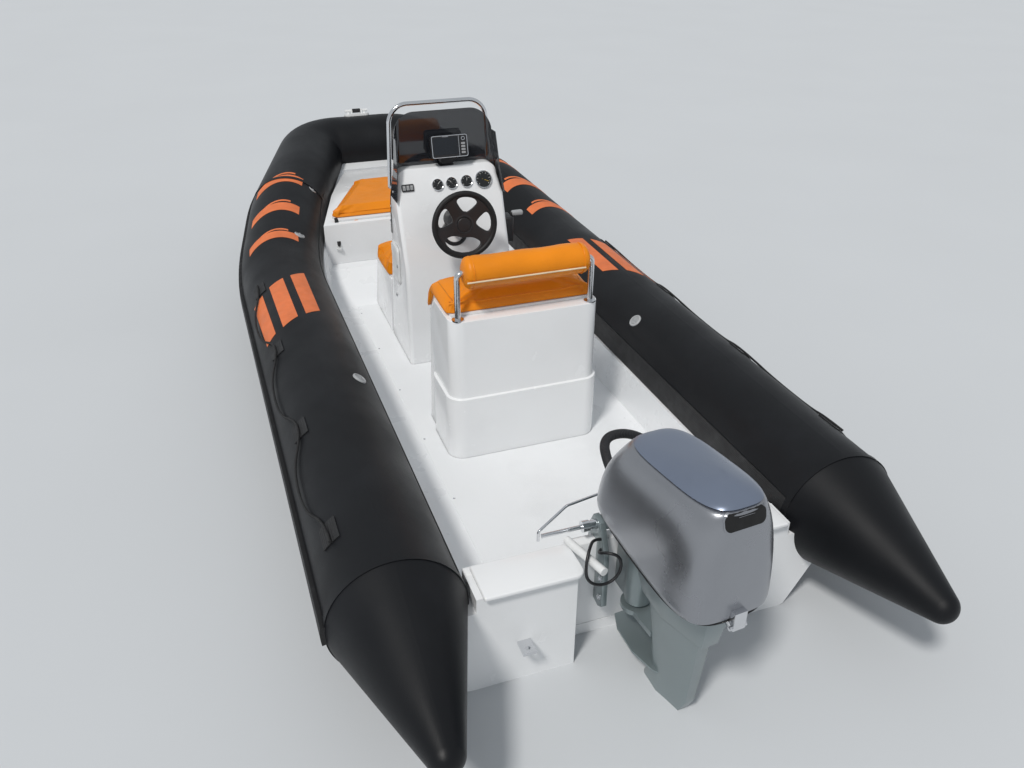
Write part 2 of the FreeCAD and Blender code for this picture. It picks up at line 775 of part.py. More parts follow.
def console():
    """Moulded shell that stands on the floor, with a hole for the side hatch."""
    outer = console_solid(0, SOLE_Z, CONSOLE_TOP)
    inner = console_solid(CONSOLE_WALL, SOLE_Z + CONSOLE_WALL, CONSOLE_TOP - CONSOLE_WALL)
    hatch = box(HATCH_AFT + HATCH_FRAME, HATCH_FRONT - HATCH_FRAME, CONSOLE_Y,
                CONSOLE_Y + CONSOLE_HALF + 50, HATCH_LOW + HATCH_FRAME, HATCH_HIGH - HATCH_FRAME)
    shell = outer.cut(inner).cut(hatch)
    room = rounded_top(CONSOLE_TOP_HALF - CONSOLE_WALL, CONSOLE_TOP - CONSOLE_WALL,
                       CONSOLE_TOP_R - CONSOLE_WALL)
    corners = rounded_top(CONSOLE_TOP_HALF, CONSOLE_TOP, CONSOLE_TOP_R).cut(room)
    shell = shell.fuse(corners.common(outer)).cut(above_corners())
    shell.translate(V(0, 0, SEAT_GAP))
    return shell.removeSplitter()


def rounded_top(half, top, radius):
    """A block across the console's top with round upper corners."""
    block = box(DASH_X, CONSOLE_FRONT_FOOT, CONSOLE_Y - half, CONSOLE_Y + half, DASH_MIDDLE_Z, top)
    upper = [e for e in block.Edges if e.BoundBox.XLength > 100 and e.BoundBox.ZMin > top - 1]
    return block.makeFillet(radius, upper)


def above_corners():
    """What the console's round upper corners leave out."""
    whole = box(DASH_X - 50, CONSOLE_FRONT_FOOT, CONSOLE_Y - CONSOLE_HALF, CONSOLE_Y + CONSOLE_HALF,
                DASH_MIDDLE_Z, CONSOLE_TOP + 10)
    return whole.cut(rounded_top(CONSOLE_TOP_HALF, CONSOLE_TOP, CONSOLE_TOP_R))


def console_hatch():
    """Side hatch with its hinge barrel at the front edge."""
    y0 = CONSOLE_Y + CONSOLE_HALF + SEAT_GAP
    panel = box(HATCH_AFT, HATCH_FRONT, y0, y0 + HATCH_T, HATCH_LOW, HATCH_HIGH)
    barrel = Part.makeCylinder(HINGE_R, HATCH_HIGH - HATCH_LOW,
                               V(HATCH_FRONT + 2, y0 + HINGE_R, HATCH_LOW))
    return fused([panel, barrel])


def dash_place(y, up):
    """A point on the dash panel and the panel's outward normal."""
    run = V(DASH_TOP_X - DASH_X, 0, CONSOLE_TOP - DASH_Z).normalize()
    normal = V(-run.z, 0, run.x)
    point = V(DASH_X, y, DASH_Z + SEAT_GAP) + run * up + normal * SEAT_GAP
    return point, run, normal


def gauges():
    solids = []
    for radius, y, up in GAUGES:
        point, _, normal = dash_place(y, up)
        solids.append(rod(point, point + normal * GAUGE_T, radius))
    return Part.makeCompound(solids)


def switch_panel():
    point, run, normal = dash_place(SWITCH_Y, SWITCH_UP)
    across = Y_AXIS * SWITCH_HALF
    up = run * SWITCH_HALF_HEIGHT
    corners = [point - across - up, point + across - up, point + across + up, point - across + up]
    return polygon_face(corners).extrude(normal * GAUGE_T)


def screen_solid(grow):
    """What the bent screen encloses, larger by grow."""
    offset = SEAT_GAP + SCREEN_T + grow
    rows = ((SCREEN_FOOT, SCREEN_AFT, CONSOLE_HALF), (DASH_Z, SCREEN_AFT, CONSOLE_HALF),
            (CONSOLE_TOP, SCREEN_AFT + (SCREEN_AFT_TOP - SCREEN_AFT) / 3, CONSOLE_TOP_HALF),
            (SCREEN_TOP, SCREEN_AFT_TOP, SCREEN_TOP_HALF))
    wires = []
    for z, aft, half in rows:
        front = console_front(min(z, CONSOLE_TOP)) + offset
        behind = aft - max(0, -grow)
        wires.append(rounded_wire(behind, front, half + offset, z, z, 1,
                                  SCREEN_BEND_R + grow, CONSOLE_Y))
    return Part.makeLoft(wires, True, True)


def windscreen():
    """Bent screen round the front of the console, with round upper corners."""
    sheet = screen_solid(0).cut(screen_solid(-SCREEN_T))
    wings = box(SCREEN_AFT - 50, SCREEN_SIDE_FRONT, -900, 900, SCREEN_FOOT - 50, SCREEN_SIDE_FOOT)
    back = box(SCREEN_AFT - 50, SCREEN_AFT_TOP + 20, CONSOLE_Y - SCREEN_TOP_HALF + SCREEN_T,
               CONSOLE_Y + SCREEN_TOP_HALF - SCREEN_T, SCREEN_FOOT - 50, SCREEN_TOP + 50)
    half = SCREEN_TOP_HALF + SEAT_GAP + SCREEN_T + 1
    window = box(SCREEN_AFT - 50, CONSOLE_FRONT_TOP + 100, CONSOLE_Y - half, CONSOLE_Y + half,
                 CONSOLE_TOP, SCREEN_TOP)
    upper = [e for e in window.Edges
             if e.BoundBox.XLength > 100 and e.BoundBox.ZMin > SCREEN_TOP - 1]
    above = box(SCREEN_AFT - 100, CONSOLE_FRONT_TOP + 200, -900, 900,
                SCREEN_TOP - SCREEN_CORNER_R, SCREEN_TOP + 50)
    corners = above.cut(window.makeFillet(SCREEN_CORNER_R, upper))
    return sheet.cut(wings).cut(back).cut(corners)


def grab_rail():
    """Hoop ahead of the screen, on feet that reach back to the screen's corners."""
    run = (
        (RAIL_X, RAIL_HALF, RAIL_FOOT, 0),
        (RAIL_X, RAIL_TOP_HALF, RAIL_TOP, RAIL_BEND_R),
        (RAIL_X, -RAIL_TOP_HALF, RAIL_TOP, RAIL_BEND_R),
        (RAIL_X, -RAIL_HALF, RAIL_FOOT, 0),
    )
    rail = bent_tube(run, RAIL_R)
    rail.translate(V(0, CONSOLE_Y, 0))
    solids = [rail]
    for side in (1, -1):
        y = CONSOLE_Y + side * RAIL_HALF
        solids.append(Part.makeSphere(RAIL_R, V(RAIL_X, y, RAIL_FOOT)))
        stub = rod(V(RAIL_X, y, RAIL_FOOT), V(DASH_TOP_X, y - side * 16, RAIL_FOOT), RAIL_FOOT_R)
        solids.append(stub.cut(screen_solid(SEAT_GAP)))
    return fused(solids)


def wheel_frame():
    """Placement that carries a part drawn about +Z at the origin to the wheel."""
    tilt = FreeCAD.Rotation(Y_AXIS, -90 + WHEEL_TILT)
    return FreeCAD.Placement(V(WHEEL_X, WHEEL_Y, WHEEL_Z), tilt)


def steering_wheel():
    rim = Part.makeTorus(WHEEL_R - WHEEL_RIM_R, WHEEL_RIM_R)
    hub = Part.makeCylinder(HUB_R, HUB_T, V(0, 0, -HUB_T))
    shaft = Part.makeCylinder(SHAFT_R, SHAFT_REACH, V(0, 0, -HUB_T - SHAFT_REACH))
    parts = [rim, hub, shaft]
    for angle in SPOKE_ANGLES:
        arm = box(HUB_R - 10, WHEEL_R - WHEEL_RIM_R - 3, -SPOKE_HALF, SPOKE_HALF, -12, -4)
        arm.rotate(V(0, 0, 0), Z_AXIS, angle)
        parts.append(arm)
    wheel = fused(parts)
    wheel.Placement = wheel_frame()
    return wheel


def helm():
    """Boot and shaft housing behind the wheel."""
    top = -HUB_T - RUN_GAP
    boot = Part.makeCone(BOOT_R, SHAFT_R + 14, BOOT_LENGTH, V(0, 0, top - BOOT_LENGTH))
    reach = Part.makeCylinder(BOOT_R, 200, V(0, 0, top - BOOT_LENGTH - 200))
    bore = Part.makeCylinder(SHAFT_R + PIVOT_GAP, SHAFT_REACH + 5, V(0, 0, -HUB_T - SHAFT_REACH - 5))
    for shape in (boot, reach, bore):
        shape.Placement = wheel_frame()
    panel = console_solid(-SEAT_GAP, SOLE_Z + SEAT_GAP, CONSOLE_TOP)
    ahead = box(CONSOLE_AFT + 150, CONSOLE_FRONT_FOOT, -900, 900, SOLE_Z, CONSOLE_TOP)
    return fused([boot, reach]).cut(panel).cut(ahead).cut(bore)


def control_box():
    y1 = CONTROL_Y - SEAT_GAP
    return box(CONTROL_X - CONTROL_HALF, CONTROL_X + CONTROL_HALF, y1 - CONTROL_T, y1,
               CONTROL_Z - CONTROL_HALF_HEIGHT, CONTROL_Z + CONTROL_HALF_HEIGHT)


def control_lever():
    """Lever on a round boss, with a grip turned outboard."""
    y1 = CONTROL_Y - CONTROL_T - 2 * SEAT_GAP
    boss = Part.makeCylinder(LEVER_T + 4, LEVER_T, V(CONTROL_X, y1 - LEVER_T, CONTROL_Z), Y_AXIS)
    arm = box(CONTROL_X - LEVER_T, CONTROL_X + LEVER_T, y1 - LEVER_T, y1, CONTROL_Z,
              CONTROL_Z + LEVER_REACH)
    grip = box(CONTROL_X - LEVER_T - 3, CONTROL_X + LEVER_T + 3, y1 - LEVER_T - GRIP_REACH,
               y1 - LEVER_T, CONTROL_Z + LEVER_REACH - 2 * LEVER_T, CONTROL_Z + LEVER_REACH)
    return fused([boss, arm, grip])


def plotter():
    """Screen on a foot that widens upward."""
    body = box(-PLOTTER_T / 2, PLOTTER_T / 2, -PLOTTER_HALF, PLOTTER_HALF, 0, PLOTTER_HEIGHT)
    body.rotate(V(0, 0, 0), Y_AXIS, PLOTTER_TILT)
    body.translate(V(PLOTTER_X, PLOTTER_Y, PLOTTER_LOW))
    low = CONSOLE_TOP + 2 * SEAT_GAP
    heel = rounded_wire(DASH_TOP_X + 4, CONSOLE_FRONT_TOP - 12, PLOTTER_HEEL_HALF, low, low,
                        10, 10, PLOTTER_Y + 12)
    head = rounded_wire(PLOTTER_X - 6, PLOTTER_X + 34, PLOTTER_FOOT_HALF, PLOTTER_LOW + 12,
                        PLOTTER_LOW + 12, 10, 10, PLOTTER_Y)
    return fused([body, Part.makeLoft([heel, head], True, True)])


def front_seat_base():
    """Locker ahead of the console, open at the top."""
    front_foot = FRONT_SEAT_FRONT - 20

    def outline(inset):
        top = FRONT_SEAT_TOP - inset
        low = SOLE_Z + inset
        aft = SEAT_GAP + inset
        return ((console_front(low) + aft, low), (console_front(top) + aft, top),
                (FRONT_SEAT_TOP_FRONT - inset, top), (FRONT_SEAT_FRONT - inset, low + SEAT_STEP),
                (front_foot - inset, low))
    outer = side_profile(outline(0), FRONT_SEAT_HALF)
    inner = side_profile(outline(SKIN), FRONT_SEAT_HALF - SKIN)
    half = FRONT_SEAT_HALF - 35
    hole = box(FRONT_PAD_AFT + 20, FRONT_SEAT_TOP_FRONT - 40, -half, half,
               FRONT_SEAT_TOP - 30, FRONT_SEAT_TOP + 30)
    shell = outer.cut(inner).cut(hole)
    shell.translate(V(0, CONSOLE_Y, SEAT_GAP))
    return shell.cut(foot_space())


def foot_space():
    """What the sloped step fills under the seat's front foot."""
    slope = (STEP_HEIGHT - SOLE_Z) / (STEP_TOP - STEP_FOOT)
    far = STEP_FOOT + 200
    points = [(STEP_FOOT - 5, SOLE_Z - 100), (STEP_FOOT - 5, SOLE_Z + SEAT_GAP),
              (STEP_FOOT, SOLE_Z + SEAT_GAP), (far, SOLE_Z + SEAT_GAP + 200 * slope),
              (far, SOLE_Z - 100)]
    return side_profile(points, 600)


def front_seat_lid():
    """Board under the front cushion, hinged at its front edge."""
    low = FRONT_SEAT_TOP + 2 * SEAT_GAP
    front = FRONT_SEAT_TOP_FRONT - HINGE_R
    board = rounded_block(FRONT_PAD_AFT, front, FRONT_SEAT_HALF - 4, low, low + LID_T, 8, CONSOLE_Y)
    return fused([board] + barrels(front, low + HINGE_R, FRONT_SEAT_HALF - 60, CONSOLE_Y))


def front_cushion():
    low = FRONT_SEAT_TOP + LID_T + 3 * SEAT_GAP
    return rounded_block(FRONT_PAD_AFT, FRONT_SEAT_TOP_FRONT - 3 * HINGE_R,
                         FRONT_SEAT_HALF + FRONT_PAD_OVER, low, low + FRONT_PAD_T, 25, CONSOLE_Y)


def seat_box():
    """Moulded helm seat, open below and under its lid."""
    outer = Part.makeLoft([rounded_wire(SEAT_AFT, front, SEAT_HALF, z, z, SEAT_EDGE_R, SEAT_EDGE_R)
                           for z, front in SEAT_LEVELS], True, True)
    step = rounded_block(SEAT_AFT - SEAT_STEP, SEAT_STEP_FRONT, SEAT_HALF + SEAT_STEP,
                         SEAT_LEVELS[0][0], SEAT_STEP_TOP, SEAT_EDGE_R + SEAT_STEP)
    radius = SEAT_EDGE_R - SKIN
    shifts = (-SEAT_STEP, 0, -SKIN)
    inside = Part.makeLoft([rounded_wire(SEAT_AFT + SKIN, front - SKIN, SEAT_HALF - SKIN, z + shift,
                                         z + shift, radius, radius)
                            for (z, front), shift in zip(SEAT_LEVELS, shifts)], True, True)
    hole = rounded_block(SEAT_AFT + 75, SEAT_TOP_FRONT - 20, SEAT_HALF - 45, SEAT_TOP - 40,
                         SEAT_TOP + 40, 30)
    return fused([outer, step]).cut(inside).cut(hole)


def offset_path(points, offset):
    """A run of points in the XZ plane, moved to the left of its way by offset."""
    lines = []
    for (x0, z0), (x1, z1) in zip(points, points[1:]):
        length = math.hypot(x1 - x0, z1 - z0)
        across = ((z0 - z1) / length, (x1 - x0) / length)
        lines.append((x0 + across[0] * offset, z0 + across[1] * offset, across))
    moved = [(lines[0][0], lines[0][1])]
    for first, second in zip(lines, lines[1:]):
        a, b = first[2], second[2]
        share = 1 + a[0] * b[0] + a[1] * b[1]
        x, z = points[lines.index(second)]
        moved.append((x + (a[0] + b[0]) / share * offset, z + (a[1] + b[1]) / share * offset))
    last = lines[-1][2]
    moved.append((points[-1][0] + last[0] * offset, points[-1][1] + last[1] * offset))
    return moved


def seat_front(z):
    """The seat box's front face below the nose."""
    return between_levels(SEAT_LEVELS, z, 1)


def seat_lid():
    """Board over the seat's top and nose, hinged below the nose."""
    run = ((SEAT_PAD_AFT, SEAT_TOP), (SEAT_TOP_FRONT, SEAT_TOP), (SEAT_NOSE_FRONT, SEAT_NOSE_Z),
           (seat_front(SEAT_LID_FOOT), SEAT_LID_FOOT))
    low = offset_path(run, SEAT_GAP)
    high = offset_path(run, SEAT_GAP + LID_T)
    board = side_profile(low + high[::-1], SEAT_HALF - 20)
    x, z = offset_path(run, SEAT_GAP + HINGE_R)[-1]
    return fused([board] + barrels(x, z, SEAT_HALF - 60))


def seat_cushion():
    """Cushion over the lid that falls over the seat's nose."""
    low_z = SEAT_NOSE_Z - 2
    run = ((SEAT_PAD_AFT, SEAT_TOP), (SEAT_TOP_FRONT, SEAT_TOP), (SEAT_NOSE_FRONT, SEAT_NOSE_Z),
           (seat_front(low_z), low_z))
    low = offset_path(run, 2 * SEAT_GAP + LID_T)
    top = ((SEAT_NOSE_FRONT + 31, low_z), (SEAT_NOSE_FRONT + 29, SEAT_NOSE_Z + 30),
           (SEAT_NOSE_FRONT - 20, SEAT_PAD_TOP - 17), (SEAT_TOP_FRONT - 40, SEAT_PAD_TOP),
           (SEAT_PAD_AFT, SEAT_PAD_TOP))
    solid = side_profile(list(low) + list(top), SEAT_HALF)
    plan = rounded_block(SEAT_PAD_AFT, SEAT_NOSE_FRONT + 31, SEAT_HALF, SEAT_NOSE_Z - 20,
                         SEAT_PAD_TOP + 10, SEAT_PAD_R)
    return solid.common(plan)


def backrest_frame():
    y = BACK_HALF
    low = SEAT_TOP + SEAT_GAP
    run = ((BACK_X, y, low, 0), (BACK_X, y, BACK_Z, BACK_BEND_R), (BACK_X, -y, BACK_Z, BACK_BEND_R),
           (BACK_X, -y, low, 0))
    frame = bent_tube(run, FRAME_R)
    feet = [Part.makeCylinder(FRAME_FOOT_R, SKIN, V(BACK_X, side * y, low)) for side in (1, -1)]
    return fused([frame] + feet)


def backrest():
    half = BACK_HALF - BACK_BEND_R
    roll = Part.makeCylinder(BACK_R, 2 * half, V(BACK_X, -half, BACK_Z), Y_AXIS)
    core = Part.makeCylinder(FRAME_R + SEAT_GAP, 2 * BACK_HALF, V(BACK_X, -BACK_HALF, BACK_Z), Y_AXIS)
    return roll.cut(core)


def floor_panel():
    """Thin panel on the floor, cut round what stands there."""
    low = SOLE_Z + SEAT_GAP
    panel = rounded_block(PANEL_AFT, PANEL_FRONT, PANEL_HALF, low, low + PANEL_T, 40)
    stands = [
        rounded_block(CONSOLE_AFT - PANEL_GAP, FRONT_SEAT_FRONT, CONSOLE_HALF + PANEL_GAP,
                      SOLE_Z, SOLE_Z + 50, CONSOLE_AFT_R, CONSOLE_Y),
        rounded_block(SEAT_AFT - SEAT_STEP - PANEL_GAP, SEAT_STEP_FRONT + PANEL_GAP,
                      SEAT_HALF + SEAT_STEP + PANEL_GAP, SOLE_Z, SOLE_Z + 50,
                      SEAT_EDGE_R + SEAT_STEP),
        rounded_block(SEAT_AFT, SEAT_FOOT_FRONT + PANEL_GAP, SEAT_HALF + PANEL_GAP, SOLE_Z,
                      SOLE_Z + 50, SEAT_EDGE_R),
    ]
    return panel.cut(stands)


def tube_valves(space):
    """Round inflation valves, each square to the tube's skin."""
    solids = []
    for x, y, z, side in VALVES:
        centre, _ = tube_centre(x)
        out = V(0, y - centre.y, z - centre.z).normalize()
        disc = rod(centre + out * (TUBE_R - 20), centre + out * (TUBE_R + VALVE_T), VALVE_R)
        solids.append(disc if side > 0 else mirror(disc))
    return Part.makeCompound([solid.cut(space) for solid in solids])


def on_tube(x, radius, angle):
    """A point beside the port tube's straight run, by angle from outboard upward."""
    turn = math.radians(angle)
    return (x, TUBE_Y + radius * math.cos(turn), TUBE_Z + radius * math.sin(turn))


def line_patches():
    """Pads on the tubes that hold the lifelines."""
    inner = TUBE_R + SEAT_GAP
    face = sector_profile(inner, inner + PATCH_T, LINE_ANGLE - PATCH_SPREAD, LINE_ANGLE + PATCH_SPREAD)
    pads = []
    for x in LINE_PATCHES:
        pad = face.extrude(V(2 * PATCH_HALF, 0, 0))
        pad.translate(V(x - PATCH_HALF - TUBE_AFT, 0, 0))
        pads.append(pad)
    return both_sides(Part.makeCompound(pads))


def lifeline():
    """Rope that hangs along the port tube between its pads."""
    on_pad = TUBE_R + PATCH_T + 2 * SEAT_GAP + LINE_R
    hanging = TUBE_R + LINE_R + 8
    low = LINE_ANGLE - LINE_SAG
    run = [(*on_tube(LINE_PATCHES[0] + PATCH_HALF, on_pad, LINE_ANGLE), 0)]
    for front, aft in zip(LINE_PATCHES, LINE_PATCHES[1:]):
        length = front - aft
        for share, angle, radius, bend in ((0.09, LINE_ANGLE, on_pad, 60), (0.3, low + 4, hanging, 150),
                                           (0.7, low + 4, hanging, 150), (0.91, LINE_ANGLE, on_pad, 60)):
            run.append((*on_tube(front - share * length, radius, angle), bend))
    run.append((*on_tube(LINE_PATCHES[-1] - PATCH_HALF, on_pad, LINE_ANGLE), 0))
    return bent_tube(run, LINE_R)


def on_nose(shape):
    """Turn a fitting drawn over the nose tube's top forward about the tube."""
    shape.rotate(V(BOW_X, 0, BOW_Z), Y_AXIS, FAIRLEAD_TURN)
    return shape


def bow_fairlead():
    """Cast fitting on top of the nose: two horns and lugs for a roller."""
    top = BOW_Z + TUBE_R
    half = FAIRLEAD_LENGTH / 2
    base = rounded_block(BOW_X - half, BOW_X + half, FAIRLEAD_HALF, top - 10, top + FAIRLEAD_T, 30)
    parts = [base]
    for side in (1, -1):
        lug = box(BOW_X - 16, BOW_X + 16, -5, 5, top, top + HORN_Z + HORN_R + 3)
        lug.translate(V(0, side * (ROLLER_HALF + 8), 0))
        post = Part.makeCone(HORN_R + 3, HORN_R - 6, HORN_Z, V(BOW_X, side * 60, top))
        horn_y = side * (FAIRLEAD_HALF - 6)
        horn = rod(V(BOW_X, side * ROLLER_HALF, top + HORN_Z), V(BOW_X, horn_y, top + HORN_Z), HORN_R)
        parts += [lug, post, horn]
    bore = Part.makeCylinder(ROLLER_PIN_R, 200, V(BOW_X, -100, top + HORN_Z), Y_AXIS)
    gap = ROLLER_HALF + SEAT_GAP
    room = box(BOW_X - 40, BOW_X + 40, -gap, gap, top + FAIRLEAD_T, top + 100)
    tube = Part.makeCylinder(TUBE_R + SEAT_GAP, 400, V(BOW_X, -200, BOW_Z), Y_AXIS)
    return on_nose(fused(parts).cut([room, bore, tube]))


def bow_roller():
    top = BOW_Z + TUBE_R
    roller = Part.makeCylinder(ROLLER_R, 2 * ROLLER_HALF, V(BOW_X, -ROLLER_HALF, top + HORN_Z), Y_AXIS)
    reach = ROLLER_HALF + 14
    pin = Part.makeCylinder(ROLLER_PIN_R - 0.2, 2 * reach, V(BOW_X, -reach, top + HORN_Z), Y_AXIS)
    return on_nose(fused([roller, pin]))


def clamp_bracket():
    """Two side plates hooked over the transom."""
    hook = COCKPIT_AFT + SEAT_GAP
    hook_foot = MOUNT_TOP - BRACKET_HOOK
    outline = ((MOUNT_X - SEAT_GAP, MOUNT_TOP + SEAT_GAP), (hook, MOUNT_TOP + SEAT_GAP),
               (hook, hook_foot), (hook + HOOK_FOOT_T, hook_foot),
               (hook + HOOK_NECK_T, MOUNT_TOP + HOOK_NECK_Z),
               (TILT_X + TILT_BOSS_R - 4, TILT_Z + TILT_BOSS_R - 2),
               (TILT_X - TILT_BOSS_R - 2, TILT_Z + TILT_BOSS_R - 6),
               (MOUNT_X - BRACKET_DEPTH + 8, MOUNT_TOP - 20),
               (MOUNT_X - BRACKET_DEPTH, BRACKET_FOOT + 20),
               (MOUNT_X - BRACKET_DEPTH + 30, BRACKET_FOOT), (MOUNT_X - SEAT_GAP, BRACKET_FOOT + 10))
    face = polygon_face([V(x, BRACKET_OUT - BRACKET_T, z) for x, z in outline])
    side = face.extrude(V(0, BRACKET_T, 0))
    bore = Part.makeCylinder(TILT_TUBE_R, 400, V(TILT_X, -200, TILT_Z), Y_AXIS)
    return both_sides(side.cut(bore))


def tilt_tube():
    """Tube through the bracket, with a nut at the end where the ram comes out."""
    start = V(TILT_X, -TILT_TUBE_HALF, TILT_Z)
    tube = Part.makeCylinder(TILT_TUBE_R, 2 * TILT_TUBE_HALF, start, Y_AXIS)
    nut = Part.makeCylinder(TILT_TUBE_R + 4, TILT_NUT_LENGTH, V(TILT_X, TILT_TUBE_HALF - 4, TILT_Z), Y_AXIS)
    bore = Part.makeCylinder(RAM_R + PIVOT_GAP, 3 * TILT_TUBE_HALF, start, Y_AXIS)
    return fused([tube, nut]).cut(bore)


def swivel_bracket():
    """Body that turns on the tilt tube and holds the steering shaft."""
    inner = BRACKET_OUT - BRACKET_T - 3
    boss = Part.makeCylinder(TILT_BOSS_R, 2 * inner, V(TILT_X, -inner, TILT_Z), Y_AXIS)
    post = Part.makeCylinder(SWIVEL_R + SWIVEL_WALL, SWIVEL_TOP - SWIVEL_FOOT - 30,
                             V(SWIVEL_X, 0, SWIVEL_FOOT + 15))
    bridge = box(SWIVEL_X, TILT_X, -62, 62, TILT_Z - 22, SWIVEL_TOP - 16)
    cheek = box(SWIVEL_X - 20, MOUNT_X - 12, -40, 40, SWIVEL_FOOT + 20, TILT_Z - 16)
    body = fused([boss, post, bridge, cheek])
    hole = Part.makeCylinder(TILT_TUBE_R + PIVOT_GAP, 400, V(TILT_X, -200, TILT_Z), Y_AXIS)
    shaft = Part.makeCylinder(SWIVEL_R, 600, V(SWIVEL_X, 0, SWIVEL_FOOT - 100))
    return body.cut(hole).cut(shaft)


def steering_arm_parts(grow):
    """Shaft ends, rear mounts and shaft, larger by grow."""
    rear = SWIVEL_X - STEER_REAR - grow
    head = Part.makeCylinder(STEER_HEAD_R + grow, STEER_HEAD_T + grow, V(SWIVEL_X, 0, SWIVEL_TOP))
    foot = Part.makeCylinder(STEER_HEAD_R + grow, STEER_FOOT_T + grow,
                             V(SWIVEL_X, 0, SWIVEL_FOOT - STEER_FOOT_T - grow))
    high = box(rear, SWIVEL_X, -50 - grow, 50 + grow, SWIVEL_TOP, SWIVEL_TOP + STEER_HEAD_T + grow)
    low = box(rear, SWIVEL_X, -40 - grow, 40 + grow, SWIVEL_FOOT - STEER_FOOT_T - grow, SWIVEL_FOOT)
    return [head, foot, high, low]


def steering_arm():
    """Steering shaft with the arm that reaches forward over the tilt tube."""
    shaft = Part.makeCylinder(SWIVEL_R - PIVOT_GAP, SWIVEL_TOP - SWIVEL_FOOT, V(SWIVEL_X, 0, SWIVEL_FOOT))
    arm_z = SWIVEL_TOP + 6
    arm = box(SWIVEL_X, SWIVEL_X + STEER_ARM_REACH + 14, -15, 15, arm_z, arm_z + STEER_ARM_T)
    eye = Part.makeCylinder(STEER_EYE_R, 60, V(SWIVEL_X + STEER_ARM_REACH, 0, SWIVEL_TOP - 10))
    return fused([shaft, arm] + steering_arm_parts(0)).cut(eye)


def steering_ram():
    start = V(TILT_X, TILT_TUBE_HALF - 260, TILT_Z)
    return rod(start, V(TILT_X, RAM_END_Y, TILT_Z), RAM_R)


def drag_link():
    """Bent rod from the ram's end to the steering arm's eye."""
    turn = math.radians(STEER_REST)
    eye_x = SWIVEL_X + STEER_ARM_REACH * math.cos(turn)
    eye_y = STEER_ARM_REACH * math.sin(turn)
    top = SWIVEL_TOP + 38
    low = TILT_Z - RAM_R - LINK_R - 4
    run = ((TILT_X, RAM_END_Y + 12, low, 0), (TILT_X, RAM_END_Y + 12, TILT_Z + 22, 12),
           (TILT_X + 36, 216, top, 40), (eye_x, eye_y, top, 6),
           (eye_x, eye_y, SWIVEL_TOP + STEER_ARM_T + 6.5, 0))
    return bent_tube(run, LINK_R)


def seam_height(x):
    """Height of the line between the cowl and its tray."""
    return SEAM_Z + SEAM_SLOPE * x


def above_seam(drop):
    """All that lies above a plane that far below the seam, near the engine."""
    aft, front = -1500.0, 1500.0
    return side_profile([(aft, seam_height(aft) - drop), (front, seam_height(front) - drop),
                         (front, 3000), (aft, 3000)], 600)


def lower_cowl(grow=0.0):
    """Tray under the cowl, tapering down to the leg."""
    front, aft, _, _, half, front_r, aft_r = COWL_LEVELS[0]
    rows = ((front - 8, aft + 10, half - 9, front_r, aft_r, SEAT_GAP),
            (front - 22, aft + 32, half - 30, front_r - 15, aft_r - 25, SEAM_DROP / 2),
            (front - 45, aft + 62, half - 56, front_r - 30, aft_r - 50, SEAM_DROP))
    wires = [rounded_wire(a - grow, f + grow, h + grow, seam_height(a) - drop, seam_height(f) - drop,
                          ar, fr) for f, a, h, fr, ar, drop in rows]
    return Part.makeLoft(wires, True, True)


def cowl_solid(inset):
    wires = []
    for i, (front, aft, z_front, z_aft, half, front_r, aft_r) in enumerate(COWL_LEVELS):
        down = abs(inset) if i == 0 else inset
        wires.append(rounded_wire(aft + inset, front - inset, half - inset, z_aft - down,
                                  z_front - down, aft_r - inset, front_r - inset))
    return Part.makeLoft(wires, True, True)


def cowl():
    return cowl_solid(0).cut(cowl_solid(COWL_T))


def cowl_latch():
    """Lever that locks the cowl to its tray at the rear."""
    aft = COWL_LEVELS[0][1]
    plate_up = box(aft - LATCH_T, aft + 20, -LATCH_HALF, LATCH_HALF, LATCH_LOW, LATCH_HIGH)
    pin = Part.makeCylinder(7, 2 * LATCH_HALF + 16, V(aft - 12, -LATCH_HALF - 8, LATCH_LOW + 8), Y_AXIS)
    latch = fused([plate_up, pin])
    return latch.cut(cowl_solid(-SEAT_GAP)).cut(lower_cowl(SEAT_GAP))


def engine_block():
    block = box(BLOCK_AFT, BLOCK_FRONT, -BLOCK_HALF, BLOCK_HALF, seam_height(BLOCK_AFT) - 20, BLOCK_TOP)
    return block.common(above_seam(0))


def leg_section(front, aft, half, z):
    """A level wire with round nose and sharp tail."""
    shoulder = front - half * 0.9
    nose = V(front, 0, z)
    a = V(shoulder, half * 0.86, z)
    b = V(shoulder, -half * 0.86, z)
    mid = V((front + aft) / 2, half, z)
    mid2 = V((front + aft) / 2, -half, z)
    tail = V(aft, half * 0.45, z)
    tail2 = V(aft, -half * 0.45, z)
    return Part.Wire([
        Part.Arc(b, nose, a).toShape(), Part.LineSegment(a, mid).toShape(),
        Part.LineSegment(mid, tail).toShape(), Part.LineSegment(tail, tail2).toShape(),
        Part.LineSegment(tail2, mid2).toShape(), Part.LineSegment(mid2, b).toShape()])


def half_plan(rows):
    """A closed plan outline from half-widths given by distance aft of the mount."""
    return mirrored_plan([(MOUNT_X - aft, half) for aft, half in rows])


